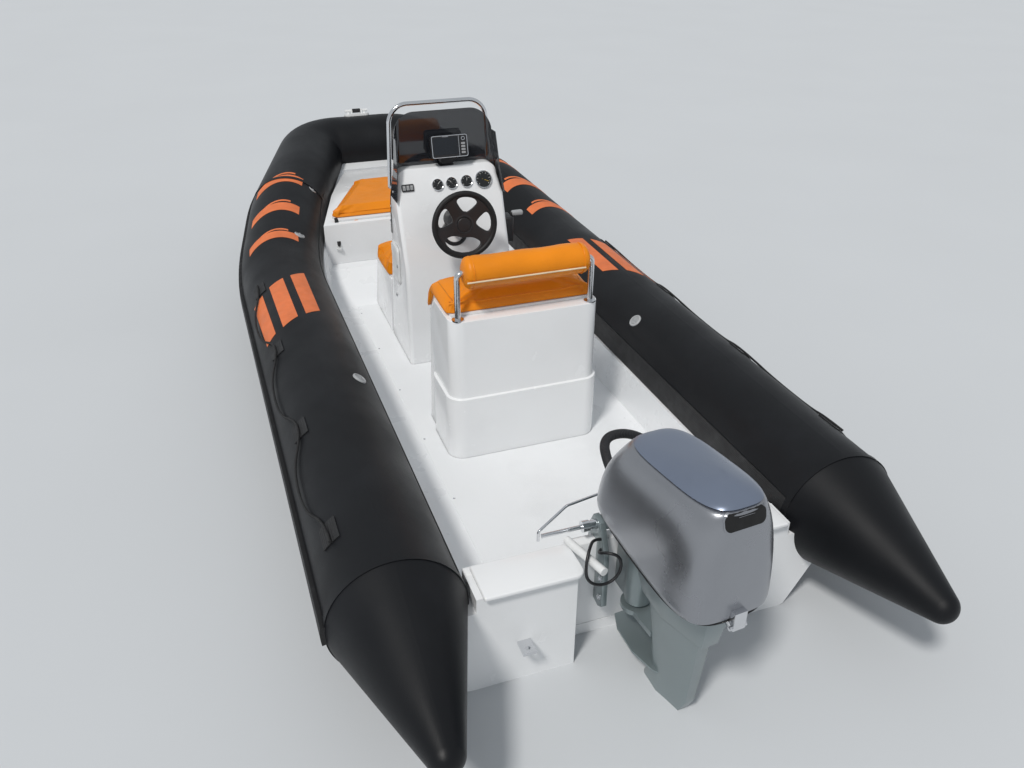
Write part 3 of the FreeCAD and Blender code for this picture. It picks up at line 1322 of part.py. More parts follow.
def leg():
    """Extension case between the tray and the gear case, with the splash plate."""
    collar = ((SEAM_Z, LEG_FRONT + 45, LEG_TAIL - 82, 104),
              (COLLAR_Z + 90, LEG_FRONT + 40, LEG_TAIL - 68, 84),
              (COLLAR_Z, LEG_FRONT, LEG_TAIL - 52, 68))
    case = ((COLLAR_Z + 8, LEG_NOSE + 60, LEG_TAIL - 32, 50),
            (SWIVEL_FOOT, LEG_NOSE + 22, LEG_TAIL - 16, 44),
            (SPLASH_Z - 8, LEG_NOSE, LEG_TAIL - 2, 40),
            (PLATE_Z + SEAT_GAP, LEG_FRONT + 10, LEG_AFT + 15, 38))
    lofts = [Part.makeLoft([leg_section(f, a, h, z) for z, f, a, h in rows], True, True)
             for rows in (collar, case)]
    splash = plate(half_plan(SPLASH_PLAN), SPLASH_Z, SPLASH_Z + SPLASH_T)
    low = SWIVEL_FOOT - STEER_FOOT_T - SEAT_GAP
    shaft_room = Part.makeCylinder(STEER_HEAD_R + 4, 1000, V(SWIVEL_X, 0, low))
    shape = fused(lofts + [splash]).cut(shaft_room)
    return shape.cut(steering_arm_parts(SEAT_GAP)).cut(above_seam(SEAM_DROP + SEAT_GAP))


def gearcase():
    """Lower case with its plate, the bullet round the shaft and the skeg."""
    anti = plate(half_plan(PLATE_PLAN), PLATE_Z - PLATE_T, PLATE_Z)
    rows = ((PLATE_Z - 2, LEG_FRONT + 5, LEG_AFT + 20, 36), (PROP_Z + 20, LEG_FRONT + 10, LEG_AFT + 30, 30))
    strut = Part.makeLoft([leg_section(f, a, h, z) for z, f, a, h in rows], True, True)
    barrel_aft = GEARCASE_TAIL + 30
    barrel = Part.makeCylinder(GEARCASE_R, GEARCASE_LENGTH, V(barrel_aft, 0, PROP_Z), X_AXIS)
    nose = Part.makeCone(GEARCASE_R, 12, 85, V(barrel_aft + GEARCASE_LENGTH, 0, PROP_Z), X_AXIS)
    tail = Part.makeCone(GEARCASE_R - 8, GEARCASE_R, 30, V(GEARCASE_TAIL, 0, PROP_Z), X_AXIS)
    skeg_top = PROP_Z - 30
    skeg_face = polygon_face([V(x, -SKEG_T / 2, z) for x, z in (
        (LEG_FRONT - 10, skeg_top), (LEG_FRONT - 170, skeg_top), (LEG_FRONT - 185, SKEG_Z),
        (LEG_FRONT - 120, SKEG_Z))])
    skeg = skeg_face.extrude(V(0, SKEG_T, 0))
    bore = Part.makeCylinder(PROP_SHAFT_R + PIVOT_GAP, 60, V(GEARCASE_TAIL - 1, 0, PROP_Z), X_AXIS)
    return fused([anti, strut, barrel, nose, tail, skeg]).cut(bore)


def propeller():
    """Three-bladed propeller with its shaft."""
    hub_x = GEARCASE_TAIL - RUN_GAP
    hub = Part.makeCylinder(PROP_HUB_R, PROP_HUB_LENGTH, V(hub_x - PROP_HUB_LENGTH, 0, PROP_Z), X_AXIS)
    shaft = Part.makeCylinder(PROP_SHAFT_R, PROP_SHAFT_LENGTH, V(hub_x, 0, PROP_Z), X_AXIS)
    root = PROP_HUB_R - 8
    blade_x = hub_x - PROP_HUB_LENGTH / 2
    blades = []
    for angle in BLADE_ANGLES:
        face = Part.Face(Part.Wire([
            Part.LineSegment(V(blade_x, -28, root), V(blade_x, 28, root)).toShape(),
            Part.Arc(V(blade_x, 28, root), V(blade_x, 62, 92), V(blade_x, 8, PROP_R)).toShape(),
            Part.Arc(V(blade_x, 8, PROP_R), V(blade_x, -48, 96), V(blade_x, -28, root)).toShape()]))
        blade = face.extrude(V(BLADE_T, 0, 0))
        blade.rotate(V(blade_x + BLADE_T / 2, 0, 0), Z_AXIS, BLADE_PITCH)
        blade.rotate(V(0, 0, 0), X_AXIS, angle)
        blade.translate(V(0, 0, PROP_Z))
        blades.append(blade)
    return fused([hub, shaft] + blades)


def steered(shape):
    """An engine piece, turned about the steering shaft to where it stands at rest."""
    shape.rotate(V(SWIVEL_X, 0, 0), Z_AXIS, STEER_REST)
    return shape


def rigging_hose():
    """Corrugated hose with the engine's cables, from the tray to the floor."""
    hose = bent_tube(HOSE_RUN, HOSE_R)
    below = box(0, 1000, -900, 900, SOLE_Z - 200, SOLE_Z + SEAT_GAP)
    return hose.cut([steered(lower_cowl(SEAT_GAP)), steered(cowl_solid(-SEAT_GAP)), below])


def cable_sleeve():
    """Short white sleeve that lies on the port cover beside the bracket."""
    z = LEDGE_TOP + SEAT_GAP + SLEEVE_R
    return rod(V(*SLEEVE_FRONT, z), V(*SLEEVE_AFT, z), SLEEVE_R)


def tow_eyes():
    """Level bored plates on the hull's aft face."""
    eye = box(HULL_AFT - SEAT_GAP - STERN_EYE_REACH, HULL_AFT - SEAT_GAP, STERN_EYE_Y - STERN_EYE_HALF,
              STERN_EYE_Y + STERN_EYE_HALF, STERN_EYE_Z, STERN_EYE_Z + EYE_T)
    bore = Part.makeCylinder(EYE_BORE_R, 100, V(HULL_AFT - STERN_EYE_BORE, STERN_EYE_Y, STERN_EYE_Z - 50))
    return both_sides(eye.cut(bore))


def bow_eye(hull):
    """Upright bored plate on the stem."""
    shape = box(BOW_EYE_X - BOW_EYE_ROOT, BOW_EYE_X + BOW_EYE_HALF, -EYE_T / 2, EYE_T / 2,
                BOW_EYE_Z - BOW_EYE_HALF, BOW_EYE_Z + BOW_EYE_HALF)
    bore = Part.makeCylinder(EYE_BORE_R, 5 * EYE_T, V(BOW_EYE_X, -2 * EYE_T, BOW_EYE_Z), Y_AXIS)
    return shape.cut(bore).cut(hull)


def export(shape, name):
    """Write one piece as STEP."""
    if shape.ShapeType == "Compound" and len(shape.Solids) == 1:
        shape = shape.Solids[0]
    print(name, "solids", len(shape.Solids), "volume", round(shape.Volume / 1e6, 3), shape.isValid())
    shape.exportStep("parts/" + name + ".step")


def main():
    os.makedirs("parts", exist_ok=True)
    port, nose = tubes()
    end = cone()
    hull, liner = hull_and_liner()
    board = transom_board()
    hull = hull.cut(board)
    liner = liner.cut(board)
    space = tube_space(SEAT_GAP)
    line = lifeline()
    pieces = {
        "tube_port": port,
        "tube_starboard": mirror(port),
        "tube_bow": nose,
        "cone_port": end,
        "cone_starboard": mirror(end),
        "hull": hull,
        "cockpit_liner": liner,
        "transom_board": board,
        "transom_ledges": transom_ledges(),
        "rub_strake": strakes(),
        "tube_joint_strip": joint_strips([hull, liner]),
        "tube_valves": tube_valves(space),
        "line_patches": line_patches(),
        "lifeline_port": line,
        "lifeline_starboard": mirror(line),
        "floor_panel": floor_panel(),
        "bow_locker": bow_locker(),
        "bow_lid": bow_lid(),
        "bow_cushion": bow_cushion(),
        "bow_fairlead": bow_fairlead(),
        "bow_roller": bow_roller(),
        "console": console(),
        "console_hatch": console_hatch(),
        "gauges": gauges(),
        "switch_panel": switch_panel(),
        "plotter": plotter(),
        "windscreen": windscreen(),
        "grab_rail": grab_rail(),
        "helm": helm(),
        "steering_wheel": steering_wheel(),
        "control_box": control_box(),
        "control_lever": control_lever(),
        "front_seat_base": front_seat_base(),
        "front_seat_lid": front_seat_lid(),
        "front_cushion": front_cushion(),
        "seat_box": seat_box(),
        "seat_lid": seat_lid(),
        "seat_cushion": seat_cushion(),
        "backrest_frame": backrest_frame(),
        "backrest": backrest(),
        "clamp_bracket": clamp_bracket(),
        "tilt_tube": tilt_tube(),
        "swivel_bracket": swivel_bracket(),
        "steering_arm": steered(steering_arm()),
        "steering_ram": steering_ram(),
        "drag_link": drag_link(),
        "lower_cowl": steered(lower_cowl()),
        "cowl": steered(cowl()),
        "cowl_latch": steered(cowl_latch()),
        "engine_block": steered(engine_block()),
        "leg": steered(leg()),
        "gearcase": steered(gearcase()),
        "propeller": steered(propeller()),
        "rigging_hose": rigging_hose(),
        "cable_sleeve": cable_sleeve(),
        "tow_eyes": tow_eyes(),
        "bow_eye": bow_eye(hull),
    }
    for name, shape in pieces.items():
        export(shape, name)


main()
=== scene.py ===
import bmesh
import bpy
import json
import math
import random
from contextlib import contextmanager
from mathutils import Matrix, Vector
from mathutils.bvhtree import BVHTree

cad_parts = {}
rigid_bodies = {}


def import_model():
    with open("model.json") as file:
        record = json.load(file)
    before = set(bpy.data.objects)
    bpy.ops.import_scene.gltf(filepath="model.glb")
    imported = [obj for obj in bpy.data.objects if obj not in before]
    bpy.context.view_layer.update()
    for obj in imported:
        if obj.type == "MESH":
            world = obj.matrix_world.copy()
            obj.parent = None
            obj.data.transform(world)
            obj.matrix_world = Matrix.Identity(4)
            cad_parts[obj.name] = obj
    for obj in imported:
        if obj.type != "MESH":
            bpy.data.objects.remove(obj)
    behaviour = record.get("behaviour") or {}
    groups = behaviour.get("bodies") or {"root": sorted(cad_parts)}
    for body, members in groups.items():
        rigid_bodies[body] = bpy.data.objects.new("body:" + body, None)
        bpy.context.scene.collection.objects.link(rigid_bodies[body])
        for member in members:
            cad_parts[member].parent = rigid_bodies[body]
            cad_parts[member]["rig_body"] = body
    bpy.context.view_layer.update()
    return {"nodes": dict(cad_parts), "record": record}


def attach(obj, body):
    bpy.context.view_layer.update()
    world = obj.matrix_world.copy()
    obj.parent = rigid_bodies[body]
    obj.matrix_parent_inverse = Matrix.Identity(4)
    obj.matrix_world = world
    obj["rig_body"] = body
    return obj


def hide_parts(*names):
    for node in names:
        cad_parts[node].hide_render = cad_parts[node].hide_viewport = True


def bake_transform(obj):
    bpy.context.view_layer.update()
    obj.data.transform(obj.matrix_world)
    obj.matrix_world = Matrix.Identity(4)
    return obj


# Inflatable boat with a rigid hull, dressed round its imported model. Metres.
# +X forward, +Y to port, +Z up, and the water is at z = 0.

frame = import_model()
nodes = frame["nodes"]

CAMERA_AT = Vector((-2.044, 1.231, 2.450))
CAMERA_YAW = -0.352
CAMERA_PITCH = 0.523
CAMERA_ROLL = -0.008
CAMERA_LENS = 31.32

TUBE_R = 0.234
TUBE_Y = 0.844
TUBE_Z = 0.370
# Corners of the port tube's centre line and their bend radii
TUBE_RUN = (
    (Vector((0.050, TUBE_Y, TUBE_Z)), 0.0),
    (Vector((2.942, TUBE_Y, TUBE_Z)), 2.0),
    (Vector((3.667, 0.686, 0.516)), 2.0),
    (Vector((4.673, 0.352, 0.623)), TUBE_R + 0.010),
    (Vector((4.673, 0.0, 0.623)), 0.0),
)
CONSOLE_Y = 0.022
STEER_X = 0.008
ENGINE_TURN = (Matrix.Translation((STEER_X, 0, 0)) @ Matrix.Rotation(math.radians(5), 4, "Z")
               @ Matrix.Translation((-STEER_X, 0, 0)))
WHEEL_TURN = Matrix.Translation((1.914, 0.028, 0.957)) @ Matrix.Rotation(math.radians(-80), 4, "Y")
PLOTTER_TURN = Matrix.Translation((2.225, 0.006, 1.202)) @ Matrix.Rotation(math.radians(14), 4, "Y")


def make_camera():
    """The photographer's place behind the port quarter."""
    data = bpy.data.cameras.new("camera")
    data.lens = CAMERA_LENS
    data.sensor_width = 36.0
    camera = linked("camera", data)
    cos_p, sin_p = math.cos(CAMERA_PITCH), math.sin(CAMERA_PITCH)
    cos_y, sin_y = math.cos(CAMERA_YAW), math.sin(CAMERA_YAW)
    forward = Vector((cos_p * cos_y, cos_p * sin_y, -sin_p))
    right = Vector((sin_y, -cos_y, 0))
    down = forward.cross(right)
    cos_r, sin_r = math.cos(CAMERA_ROLL), math.sin(CAMERA_ROLL)
    right, down = right * cos_r + down * sin_r, down * cos_r - right * sin_r
    turn = Matrix((right, -down, -forward)).transposed()
    camera.matrix_world = Matrix.Translation(CAMERA_AT) @ turn.to_4x4()
    bpy.context.scene.camera = camera


def make_light():
    world = bpy.data.worlds.new("world")
    bpy.context.scene.world = world
    world.use_nodes = True
    background = world.node_tree.nodes["Background"]
    background.inputs["Color"].default_value = (0.90, 0.95, 1.0, 1)
    background.inputs["Strength"].default_value = 0.50
    sun = bpy.data.lights.new("sun", "SUN")
    sun.energy = 2.05
    sun.angle = math.radians(9)
    sun.color = (1.0, 0.975, 0.94)
    lamp = linked("sun", sun)
    lamp.rotation_euler = Vector((0.50, -0.55, -1.0)).to_track_quat("-Z", "Y").to_euler()


# Materials

class Finish:
    """A procedural material built up in steps round one shader."""

    def __init__(self, name, roughness, metallic=0.0):
        self.material = bpy.data.materials.new(name)
        self.material.use_nodes = True
        self.tree = self.material.node_tree
        self.shader = self.tree.nodes["Principled BSDF"]
        self.shader.inputs["Metallic"].default_value = metallic
        self.shader.inputs["Roughness"].default_value = roughness
        self.roughness = roughness
        self.where = self.node("ShaderNodeTexCoord").outputs["Object"]
        self.bumps = None

    def node(self, kind, **inputs):
        made = self.tree.nodes.new(kind)
        for key, value in inputs.items():
            made.inputs[key.replace("_", " ")].default_value = value
        return made

    def join(self, source, target):
        self.tree.links.new(source, target)

    def stretched(self, scale):
        """Coordinates with their own scale along each axis."""
        mapping = self.node("ShaderNodeMapping")
        mapping.inputs["Scale"].default_value = scale
        self.join(self.where, mapping.inputs["Vector"])
        return mapping.outputs["Vector"]

    def noise(self, scale, detail=3.0, vector=None, roughness=0.5):
        made = self.node("ShaderNodeTexNoise", Scale=scale, Detail=detail, Roughness=roughness)
        self.join(vector or self.where, made.inputs["Vector"])
        return made.outputs["Fac"]

    def cells(self, scale, feature="F1"):
        made = self.node("ShaderNodeTexVoronoi", Scale=scale)
        made.feature = feature
        self.join(self.where, made.inputs["Vector"])
        return made.outputs["Distance"]

    def waves(self, scale, axis, vector=None):
        made = self.node("ShaderNodeTexWave", Scale=scale, Distortion=0.0)
        made.bands_direction = axis
        self.join(vector or self.where, made.inputs["Vector"])
        return made.outputs["Fac"]

    def ramp(self, fac, low, high, first, last):
        """Blend from one colour to another as fac goes from low to high."""
        made = self.node("ShaderNodeValToRGB")
        made.color_ramp.elements[0].position = low
        made.color_ramp.elements[1].position = high
        made.color_ramp.elements[0].color = (*first, 1)
        made.color_ramp.elements[1].color = (*last, 1)
        self.join(fac, made.inputs["Fac"])
        return made.outputs["Color"]

    def colour(self, base, scale=3.0, spread=0.06, patch=None, patch_scale=1.5, patch_from=0.55,
               patch_to=0.8):
        """Base colour with slow change of tone, and patches of a second colour."""
        darker = tuple(c * (1 - spread) for c in base)
        lighter = tuple(min(1.0, c * (1 + spread)) for c in base)
        out = self.ramp(self.noise(scale, 4.0), 0.3, 0.7, darker, lighter)
        if patch:
            mix = self.node("ShaderNodeMix")
            mix.data_type = "RGBA"
            mask = self.ramp(self.noise(patch_scale, 6.0, roughness=0.6), patch_from, patch_to,
                             (0, 0, 0), (1, 1, 1))
            self.join(mask, mix.inputs[0])
            self.join(out, mix.inputs[6])
            mix.inputs[7].default_value = (*patch, 1)
            out = mix.outputs[2]
        self.join(out, self.shader.inputs["Base Color"])
        return self

    def gloss(self, scale, spread):
        """Roughness that changes over the surface."""
        made = self.node("ShaderNodeMapRange", From_Min=0.3, From_Max=0.7)
        made.inputs["To Min"].default_value = max(0.02, self.roughness - spread)
        made.inputs["To Max"].default_value = min(1.0, self.roughness + spread)
        self.join(self.noise(scale, 5.0), made.inputs["Value"])
        self.join(made.outputs["Result"], self.shader.inputs["Roughness"])
        return self

    def bump(self, height, distance, strength=1.0):
        made = self.node("ShaderNodeBump", Strength=strength, Distance=distance)
        self.join(height, made.inputs["Height"])
        if self.bumps:
            self.join(self.bumps, made.inputs["Normal"])
        self.bumps = made.outputs["Normal"]
        self.join(self.bumps, self.shader.inputs["Normal"])
        return self

    def set(self, **inputs):
        for key, value in inputs.items():
            self.shader.inputs[key.replace("_", " ")].default_value = value
        return self


def gelcoat(name, colour, roughness=0.22):
    """Polished moulding with a slight waviness and a little grime."""
    made = Finish(name, roughness).colour(colour, 2.0, 0.015, tuple(c * 0.93 for c in colour), 2.2,
                                          0.60, 0.95)
    made.gloss(9.0, 0.06).set(Coat_Weight=0.35, Coat_Roughness=0.08)
    made.bump(made.noise(5.0, 2.0), 0.0012, 0.35).bump(made.noise(420.0, 2.0), 0.00012, 0.5)
    return made.material


def moulded(name, colour, roughness=0.5, grain=900.0, depth=0.00025):
    """Moulded plastic or rubber with a fine spark grain."""
    made = Finish(name, roughness).colour(colour, 14.0, 0.10, tuple(min(1, c * 1.6 + 0.004) for c in colour),
                                          5.0, 0.6, 0.95)
    made.gloss(30.0, 0.07).bump(made.noise(grain, 2.0), depth, 0.6)
    return made.material


def vinyl(name, colour, roughness=0.42):
    """Coated fabric with a leather grain and faint creases."""
    made = Finish(name, roughness).colour(colour, 5.0, 0.07, tuple(c * 0.80 for c in colour), 9.0,
                                          0.56, 0.92)
    made.gloss(22.0, 0.07).set(Specular_IOR_Level=0.32)
    made.bump(made.cells(310.0, "DISTANCE_TO_EDGE"), 0.0007, 0.55)
    made.bump(made.noise(26.0, 3.0), 0.0022, 0.45).bump(made.noise(900.0, 2.0), 0.00015, 0.5)
    return made.material


def tube_fabric(name, colour):
    """Coated tube fabric: fine weave under the coat, dried spray and scuffs."""
    made = Finish(name, 0.46).colour(colour, 1.6, 0.18, tuple(c * 1.8 + 0.002 for c in colour), 3.2,
                                     0.54, 0.88)
    made.gloss(4.0, 0.08).set(Specular_IOR_Level=0.26)
    made.bump(made.waves(520.0, "X"), 0.00010, 0.35).bump(made.waves(520.0, "Z"), 0.00010, 0.35)
    made.bump(made.noise(7.0, 4.0), 0.0016, 0.35).bump(made.noise(1400.0, 2.0), 0.00012, 0.5)
    return made.material


def metal(name, colour, roughness, brushed=None):
    """Bare metal with fine marks along one axis."""
    made = Finish(name, roughness, 1.0).colour(colour, 6.0, 0.06)
    made.gloss(60.0, 0.05)
    marks = made.noise(40.0, 3.0, made.stretched(brushed or (1, 1, 1)))
    made.bump(marks, 0.0002, 0.25)
    return made.material


def metal_paint(name, colour, roughness=0.34, metallic=0.55, wear=None):
    """Metallic paint with flake, coat and dull marks."""
    wear = wear or tuple(c * 0.88 for c in colour)
    made = Finish(name, roughness, metallic).colour(colour, 4.0, 0.04, wear, 7.0, 0.60, 1.0)
    made.gloss(5.0, 0.04).set(Coat_Weight=0.4, Coat_Roughness=0.14)
    made.bump(made.noise(1900.0, 2.0), 0.00010, 0.5).bump(made.noise(5.0, 2.0), 0.0006, 0.2)
    return made.material


def anti_slip(name, colour):
    """Deck with a moulded dot pattern."""
    made = Finish(name, 0.5).colour(colour, 1.7, 0.02, tuple(c * 0.90 for c in colour), 2.6, 0.55, 0.92)
    made.gloss(12.0, 0.08).bump(made.cells(190.0), 0.0009, 0.5).bump(made.noise(3.0, 2.0), 0.002, 0.3)
    return made.material


def smoked():
    made = Finish("smoked_screen", 0.05).colour((0.020, 0.022, 0.027), 4.0, 0.1)
    made.set(Transmission_Weight=0.0, Alpha=0.83, Coat_Weight=0.8, Coat_Roughness=0.03)
    made.gloss(6.0, 0.02).bump(made.noise(6.0, 2.0), 0.0006, 0.2)
    made.material.surface_render_method = "BLENDED"
    return made.material


def rope(name, colour):
    made = Finish(name, 0.8).colour(colour, 60.0, 0.35)
    made.bump(made.waves(190.0, "DIAGONAL"), 0.0012, 0.9).bump(made.noise(1200.0, 2.0), 0.0003, 0.6)
    return made.material


def ribbed_rubber(name, colour):
    """Rubber rail with fine grooves along its length, and scuffs."""
    made = Finish(name, 0.6).colour(colour, 6.0, 0.2, tuple(c * 3 + 0.01 for c in colour), 12.0, 0.58, 0.9)
    made.gloss(20.0, 0.08).bump(made.waves(55.0, "Z"), 0.0016, 0.6).bump(made.noise(700.0, 2.0), 0.0002, 0.6)
    return made.material


MATERIALS = {
    "tube_skin": tube_fabric("tube_skin", (0.0046, 0.0051, 0.0066)),
    "black_rubber": ribbed_rubber("black_rubber", (0.012, 0.012, 0.013)),
    "hull_white": gelcoat("hull_white", (0.84, 0.85, 0.86)),
    "deck_white": anti_slip("deck_white", (0.80, 0.815, 0.83)),
    "orange_vinyl": vinyl("orange_vinyl", (0.80, 0.245, 0.004)),
    "stainless": metal("stainless", (0.74, 0.75, 0.77), 0.14, (1, 1, 6)),
    "smoked_screen": smoked(),
    "black_plastic": moulded("black_plastic", (0.014, 0.014, 0.016), 0.42),
    "gauge_black": moulded("gauge_black", (0.010, 0.011, 0.012), 0.3, 500.0, 0.0001),
    "white_nylon": moulded("white_nylon", (0.76, 0.77, 0.77), 0.35, 500.0, 0.0002),
    "engine_silver": metal_paint("engine_silver", (0.315, 0.325, 0.35), 0.30, 0.82),
    "engine_case": metal_paint("engine_case", (0.25, 0.295, 0.305), 0.33, 0.55, (0.15, 0.18, 0.18)),
    "engine_steel": metal("engine_steel", (0.22, 0.22, 0.22), 0.5),
    "propeller_metal": metal_paint("propeller_metal", (0.05, 0.05, 0.055), 0.4, 0.4, (0.2, 0.2, 0.2)),
    "grey_plastic": moulded("grey_plastic", (0.40, 0.41, 0.42), 0.4),
    "black_rope": rope("black_rope", (0.018, 0.018, 0.019)),
    "lid_board": gelcoat("lid_board", (0.74, 0.75, 0.76), 0.35),
}
LINER_WHITE = gelcoat("liner_white", (0.82, 0.835, 0.85), 0.3)
COWL_TOP = metal_paint("cowl_top", (0.19, 0.225, 0.30), 0.30, 0.55)
GRAPHIC = moulded("graphic_orange", (0.72, 0.175, 0.050), 0.5, 1100.0, 0.00015)
PIPING = moulded("piping_pale", (0.80, 0.66, 0.45), 0.45)
SEAM_THREAD = moulded("seam_orange", (0.58, 0.18, 0.004), 0.6)
SEALANT = moulded("sealant_black", (0.010, 0.010, 0.011), 0.5)
HANDLE_GREY = moulded("handle_grey", (0.33, 0.34, 0.35), 0.45)
MARK = moulded("dial_marks", (0.75, 0.75, 0.72), 0.5)
NEEDLE = moulded("needle_yellow", (0.80, 0.52, 0.05), 0.4)
SCREEN_GLASS = moulded("display_glass", (0.010, 0.013, 0.018), 0.08, 200.0, 0.00002)
WHEEL_GRIP = vinyl("wheel_grip", (0.013, 0.013, 0.014), 0.5)
# Painted shade: a near-black sheet laid where an opening's depth is in shade, over the engine's intake slot
# and in the key socket's hole.
SHADOW_BLACK = moulded("painted_recess_shade", (0.004, 0.004, 0.004), 0.7)


# Mesh helpers

def linked(name, data):
    """A new object in the scene."""
    made = bpy.data.objects.new(name, data)
    bpy.context.scene.collection.objects.link(made)
    return made


@contextmanager
def editing(mesh):
    """A mesh's editable form, written back to it at the end."""
    build = bmesh.new()
    build.from_mesh(mesh)
    yield build
    build.to_mesh(mesh)
    build.free()


def add(name, mesh, material, body, replaces=(), sharp=35.0):
    """Put a mesh in the scene as a piece, smooth except at sharp edges."""
    limit = math.radians(sharp)
    with editing(mesh) as build:
        for face in build.faces:
            face.smooth = True
        for edge in build.edges:
            edge.smooth = len(edge.link_faces) != 2 or edge.calc_face_angle(0.0) < limit
    piece = linked(name, mesh)
    for item in material if isinstance(material, (list, tuple)) else [material]:
        piece.data.materials.append(item)
    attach(piece, body)
    if replaces:
        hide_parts(*replaces)
    return piece


def made_mesh(name, points, faces):
    mesh = bpy.data.meshes.new(name)
    mesh.from_pydata([tuple(p) for p in points], [], faces)
    mesh.validate()
    return mesh


def evaluated(piece):
    """The mesh of an object with its modifiers."""
    bpy.context.view_layer.update()
    graph = bpy.context.evaluated_depsgraph_get()
    return bpy.data.meshes.new_from_object(piece.evaluated_get(graph))


def mesh_of(curve):
    """The mesh of a curve, which is used up."""
    holder = linked("holder", curve)
    mesh = evaluated(holder)
    bpy.data.objects.remove(holder)
    bpy.data.curves.remove(curve)
    return mesh


def shape_with(mesh, *modifiers):
    """Run a mesh through modifiers given as (kind, settings)."""
    holder = linked("holder", mesh)
    for kind, settings in modifiers:
        modifier = holder.modifiers.new(kind.lower(), kind)
        for key, value in settings.items():
            setattr(modifier, key, value)
    result = evaluated(holder)
    bpy.data.objects.remove(holder)
    return result


def joined(name, meshes):
    """One mesh from several, keeping their material numbers."""
    build = bmesh.new()
    for mesh in meshes:
        build.from_mesh(mesh)
    out = bpy.data.meshes.new(name)
    build.to_mesh(out)
    build.free()
    return out


def numbered(mesh, number):
    for polygon in mesh.polygons:
        polygon.material_index = number
    return mesh


def turned(mesh, matrix):
    mesh.transform(matrix)
    return mesh


def loft(name, rings, cap_ends=True):
    """Skin over closed rings with equal counts of points."""
    count = len(rings[0])
    points = [p for ring in rings for p in ring]
    faces = []
    for i in range(len(rings) - 1):
        for j in range(count):
            k = (j + 1) % count
            faces.append((i * count + j, i * count + k, (i + 1) * count + k, (i + 1) * count + j))
    if cap_ends:
        last = (len(rings) - 1) * count
        faces.append(tuple(range(count))[::-1])
        faces.append(tuple(last + j for j in range(count)))
    mesh = made_mesh(name, points, faces)
    with editing(mesh) as build:
        bmesh.ops.recalc_face_normals(build, faces=build.faces)
    return mesh


def lathe(name, profile, matrix, count=32):
    """Turn (radius, height) points about the local Z axis."""
    rings = []
    for radius, height in profile:
        rings.append([matrix @ Vector((radius * math.cos(a), radius * math.sin(a), height))
                      for a in (2 * math.pi * i / count for i in range(count))])
    return loft(name, rings)


def rounded_rect(width, height, radius, steps=6):
    """Outline of a rectangle with round corners, anticlockwise."""
    points = []
    for sx, sy, start in ((1, 1, 0), (-1, 1, 90), (-1, -1, 180), (1, -1, 270)):
        cx, cy = sx * (width / 2 - radius), sy * (height / 2 - radius)
        for i in range(steps + 1):
            a = math.radians(start + 90 * i / steps)
            points.append((cx + radius * math.cos(a), cy + radius * math.sin(a)))
    return points


def plate(name, outlines, thickness, bevel, matrix=None):
    """A flat piece with holes and rounded edges, its outlines in local XY, on z from 0 up."""
    curve = bpy.data.curves.new(name, "CURVE")
    curve.dimensions = "2D"
    curve.fill_mode = "BOTH"
    curve.extrude = max(0.0, thickness / 2 - bevel)
    curve.bevel_depth = bevel
    curve.bevel_resolution = 2
    for outline in outlines:
        spline = curve.splines.new("POLY")
        spline.points.add(len(outline) - 1)
        for point, (x, y) in zip(spline.points, outline):
            point.co = (x, y, 0, 1)
        spline.use_cyclic_u = True
    mesh = mesh_of(curve)
    mesh.transform(Matrix.Translation((0, 0, thickness / 2)))
    with editing(mesh) as build:
        bmesh.ops.remove_doubles(build, verts=build.verts, dist=1e-6)
        bmesh.ops.recalc_face_normals(build, faces=build.faces)
    if matrix:
        mesh.transform(matrix)
    return mesh


def block(name, low, high, bevel, matrix=None, segments=3):
    """A block with rounded edges between two corners."""
    size = Vector(high) - Vector(low)
    middle = (Vector(high) + Vector(low)) / 2
    build = bmesh.new()
    bmesh.ops.create_cube(build, size=1.0)
    bmesh.ops.scale(build, vec=size, verts=build.verts)
    bmesh.ops.translate(build, vec=middle, verts=build.verts)
    bmesh.ops.bevel(build, geom=list(build.edges), offset=bevel, segments=segments, profile=0.5,
                    affect="EDGES")
    mesh = bpy.data.meshes.new(name)
    build.to_mesh(mesh)
    build.free()
    if matrix:
        mesh.transform(matrix)
    return mesh


def tube_mesh(name, points, radius, cyclic=False):
    """A round bar along points."""
    curve = bpy.data.curves.new(name, "CURVE")
    curve.dimensions = "3D"
    curve.bevel_depth = radius
    curve.bevel_resolution = 2
    curve.use_fill_caps = True
    spline = curve.splines.new("POLY")
    spline.points.add(len(points) - 1)
    for point, co in zip(spline.points, points):
        point.co = (*co, 1)
    spline.use_cyclic_u = cyclic
    return mesh_of(curve)


def tree_of(*names):
    """Search tree over CAD nodes."""
    points, polygons = [], []
    for name in names:
        start = len(points)
        data = nodes[name].data
        points += [v.co.copy() for v in data.vertices]
        polygons += [[start + i for i in p.vertices] for p in data.polygons]
    return BVHTree.FromPolygons(points, polygons)


def facing(point, normal, up=Vector((0, 0, 1))):
    """Matrix that puts local Z on a normal and local Y near up, at a point."""
    z = Vector(normal).normalized()
    x = up.cross(z)
    if x.length < 1e-4:
        x = Vector((0, 1, 0)).cross(z)
    x.normalize()
    y = z.cross(x)
    return Matrix.Translation(point) @ Matrix((x, y, z)).transposed().to_4x4()


def softened(node, width):
    """A copy of a CAD node with its edges rounded, in the node's place."""
    mesh = nodes[node].data.copy()
    mesh.materials.clear()
    with editing(mesh) as build:
        bmesh.ops.remove_doubles(build, verts=build.verts, dist=2e-5)
        bmesh.ops.dissolve_limit(build, angle_limit=math.radians(2.0), verts=build.verts, edges=build.edges)
    if mesh.has_custom_normals:
        mesh.attributes.remove(mesh.attributes["custom_normal"])
    mesh = shape_with(mesh, ("BEVEL", {"width": width, "segments": 3, "limit_method": "ANGLE",
                                       "angle_limit": math.radians(30.0), "use_clamp_overlap": True}))
    slot = SLOT_OF[node]
    add(node + "_form", mesh, MATERIALS[slot], BODY_OF[node], (node,), 30.0)


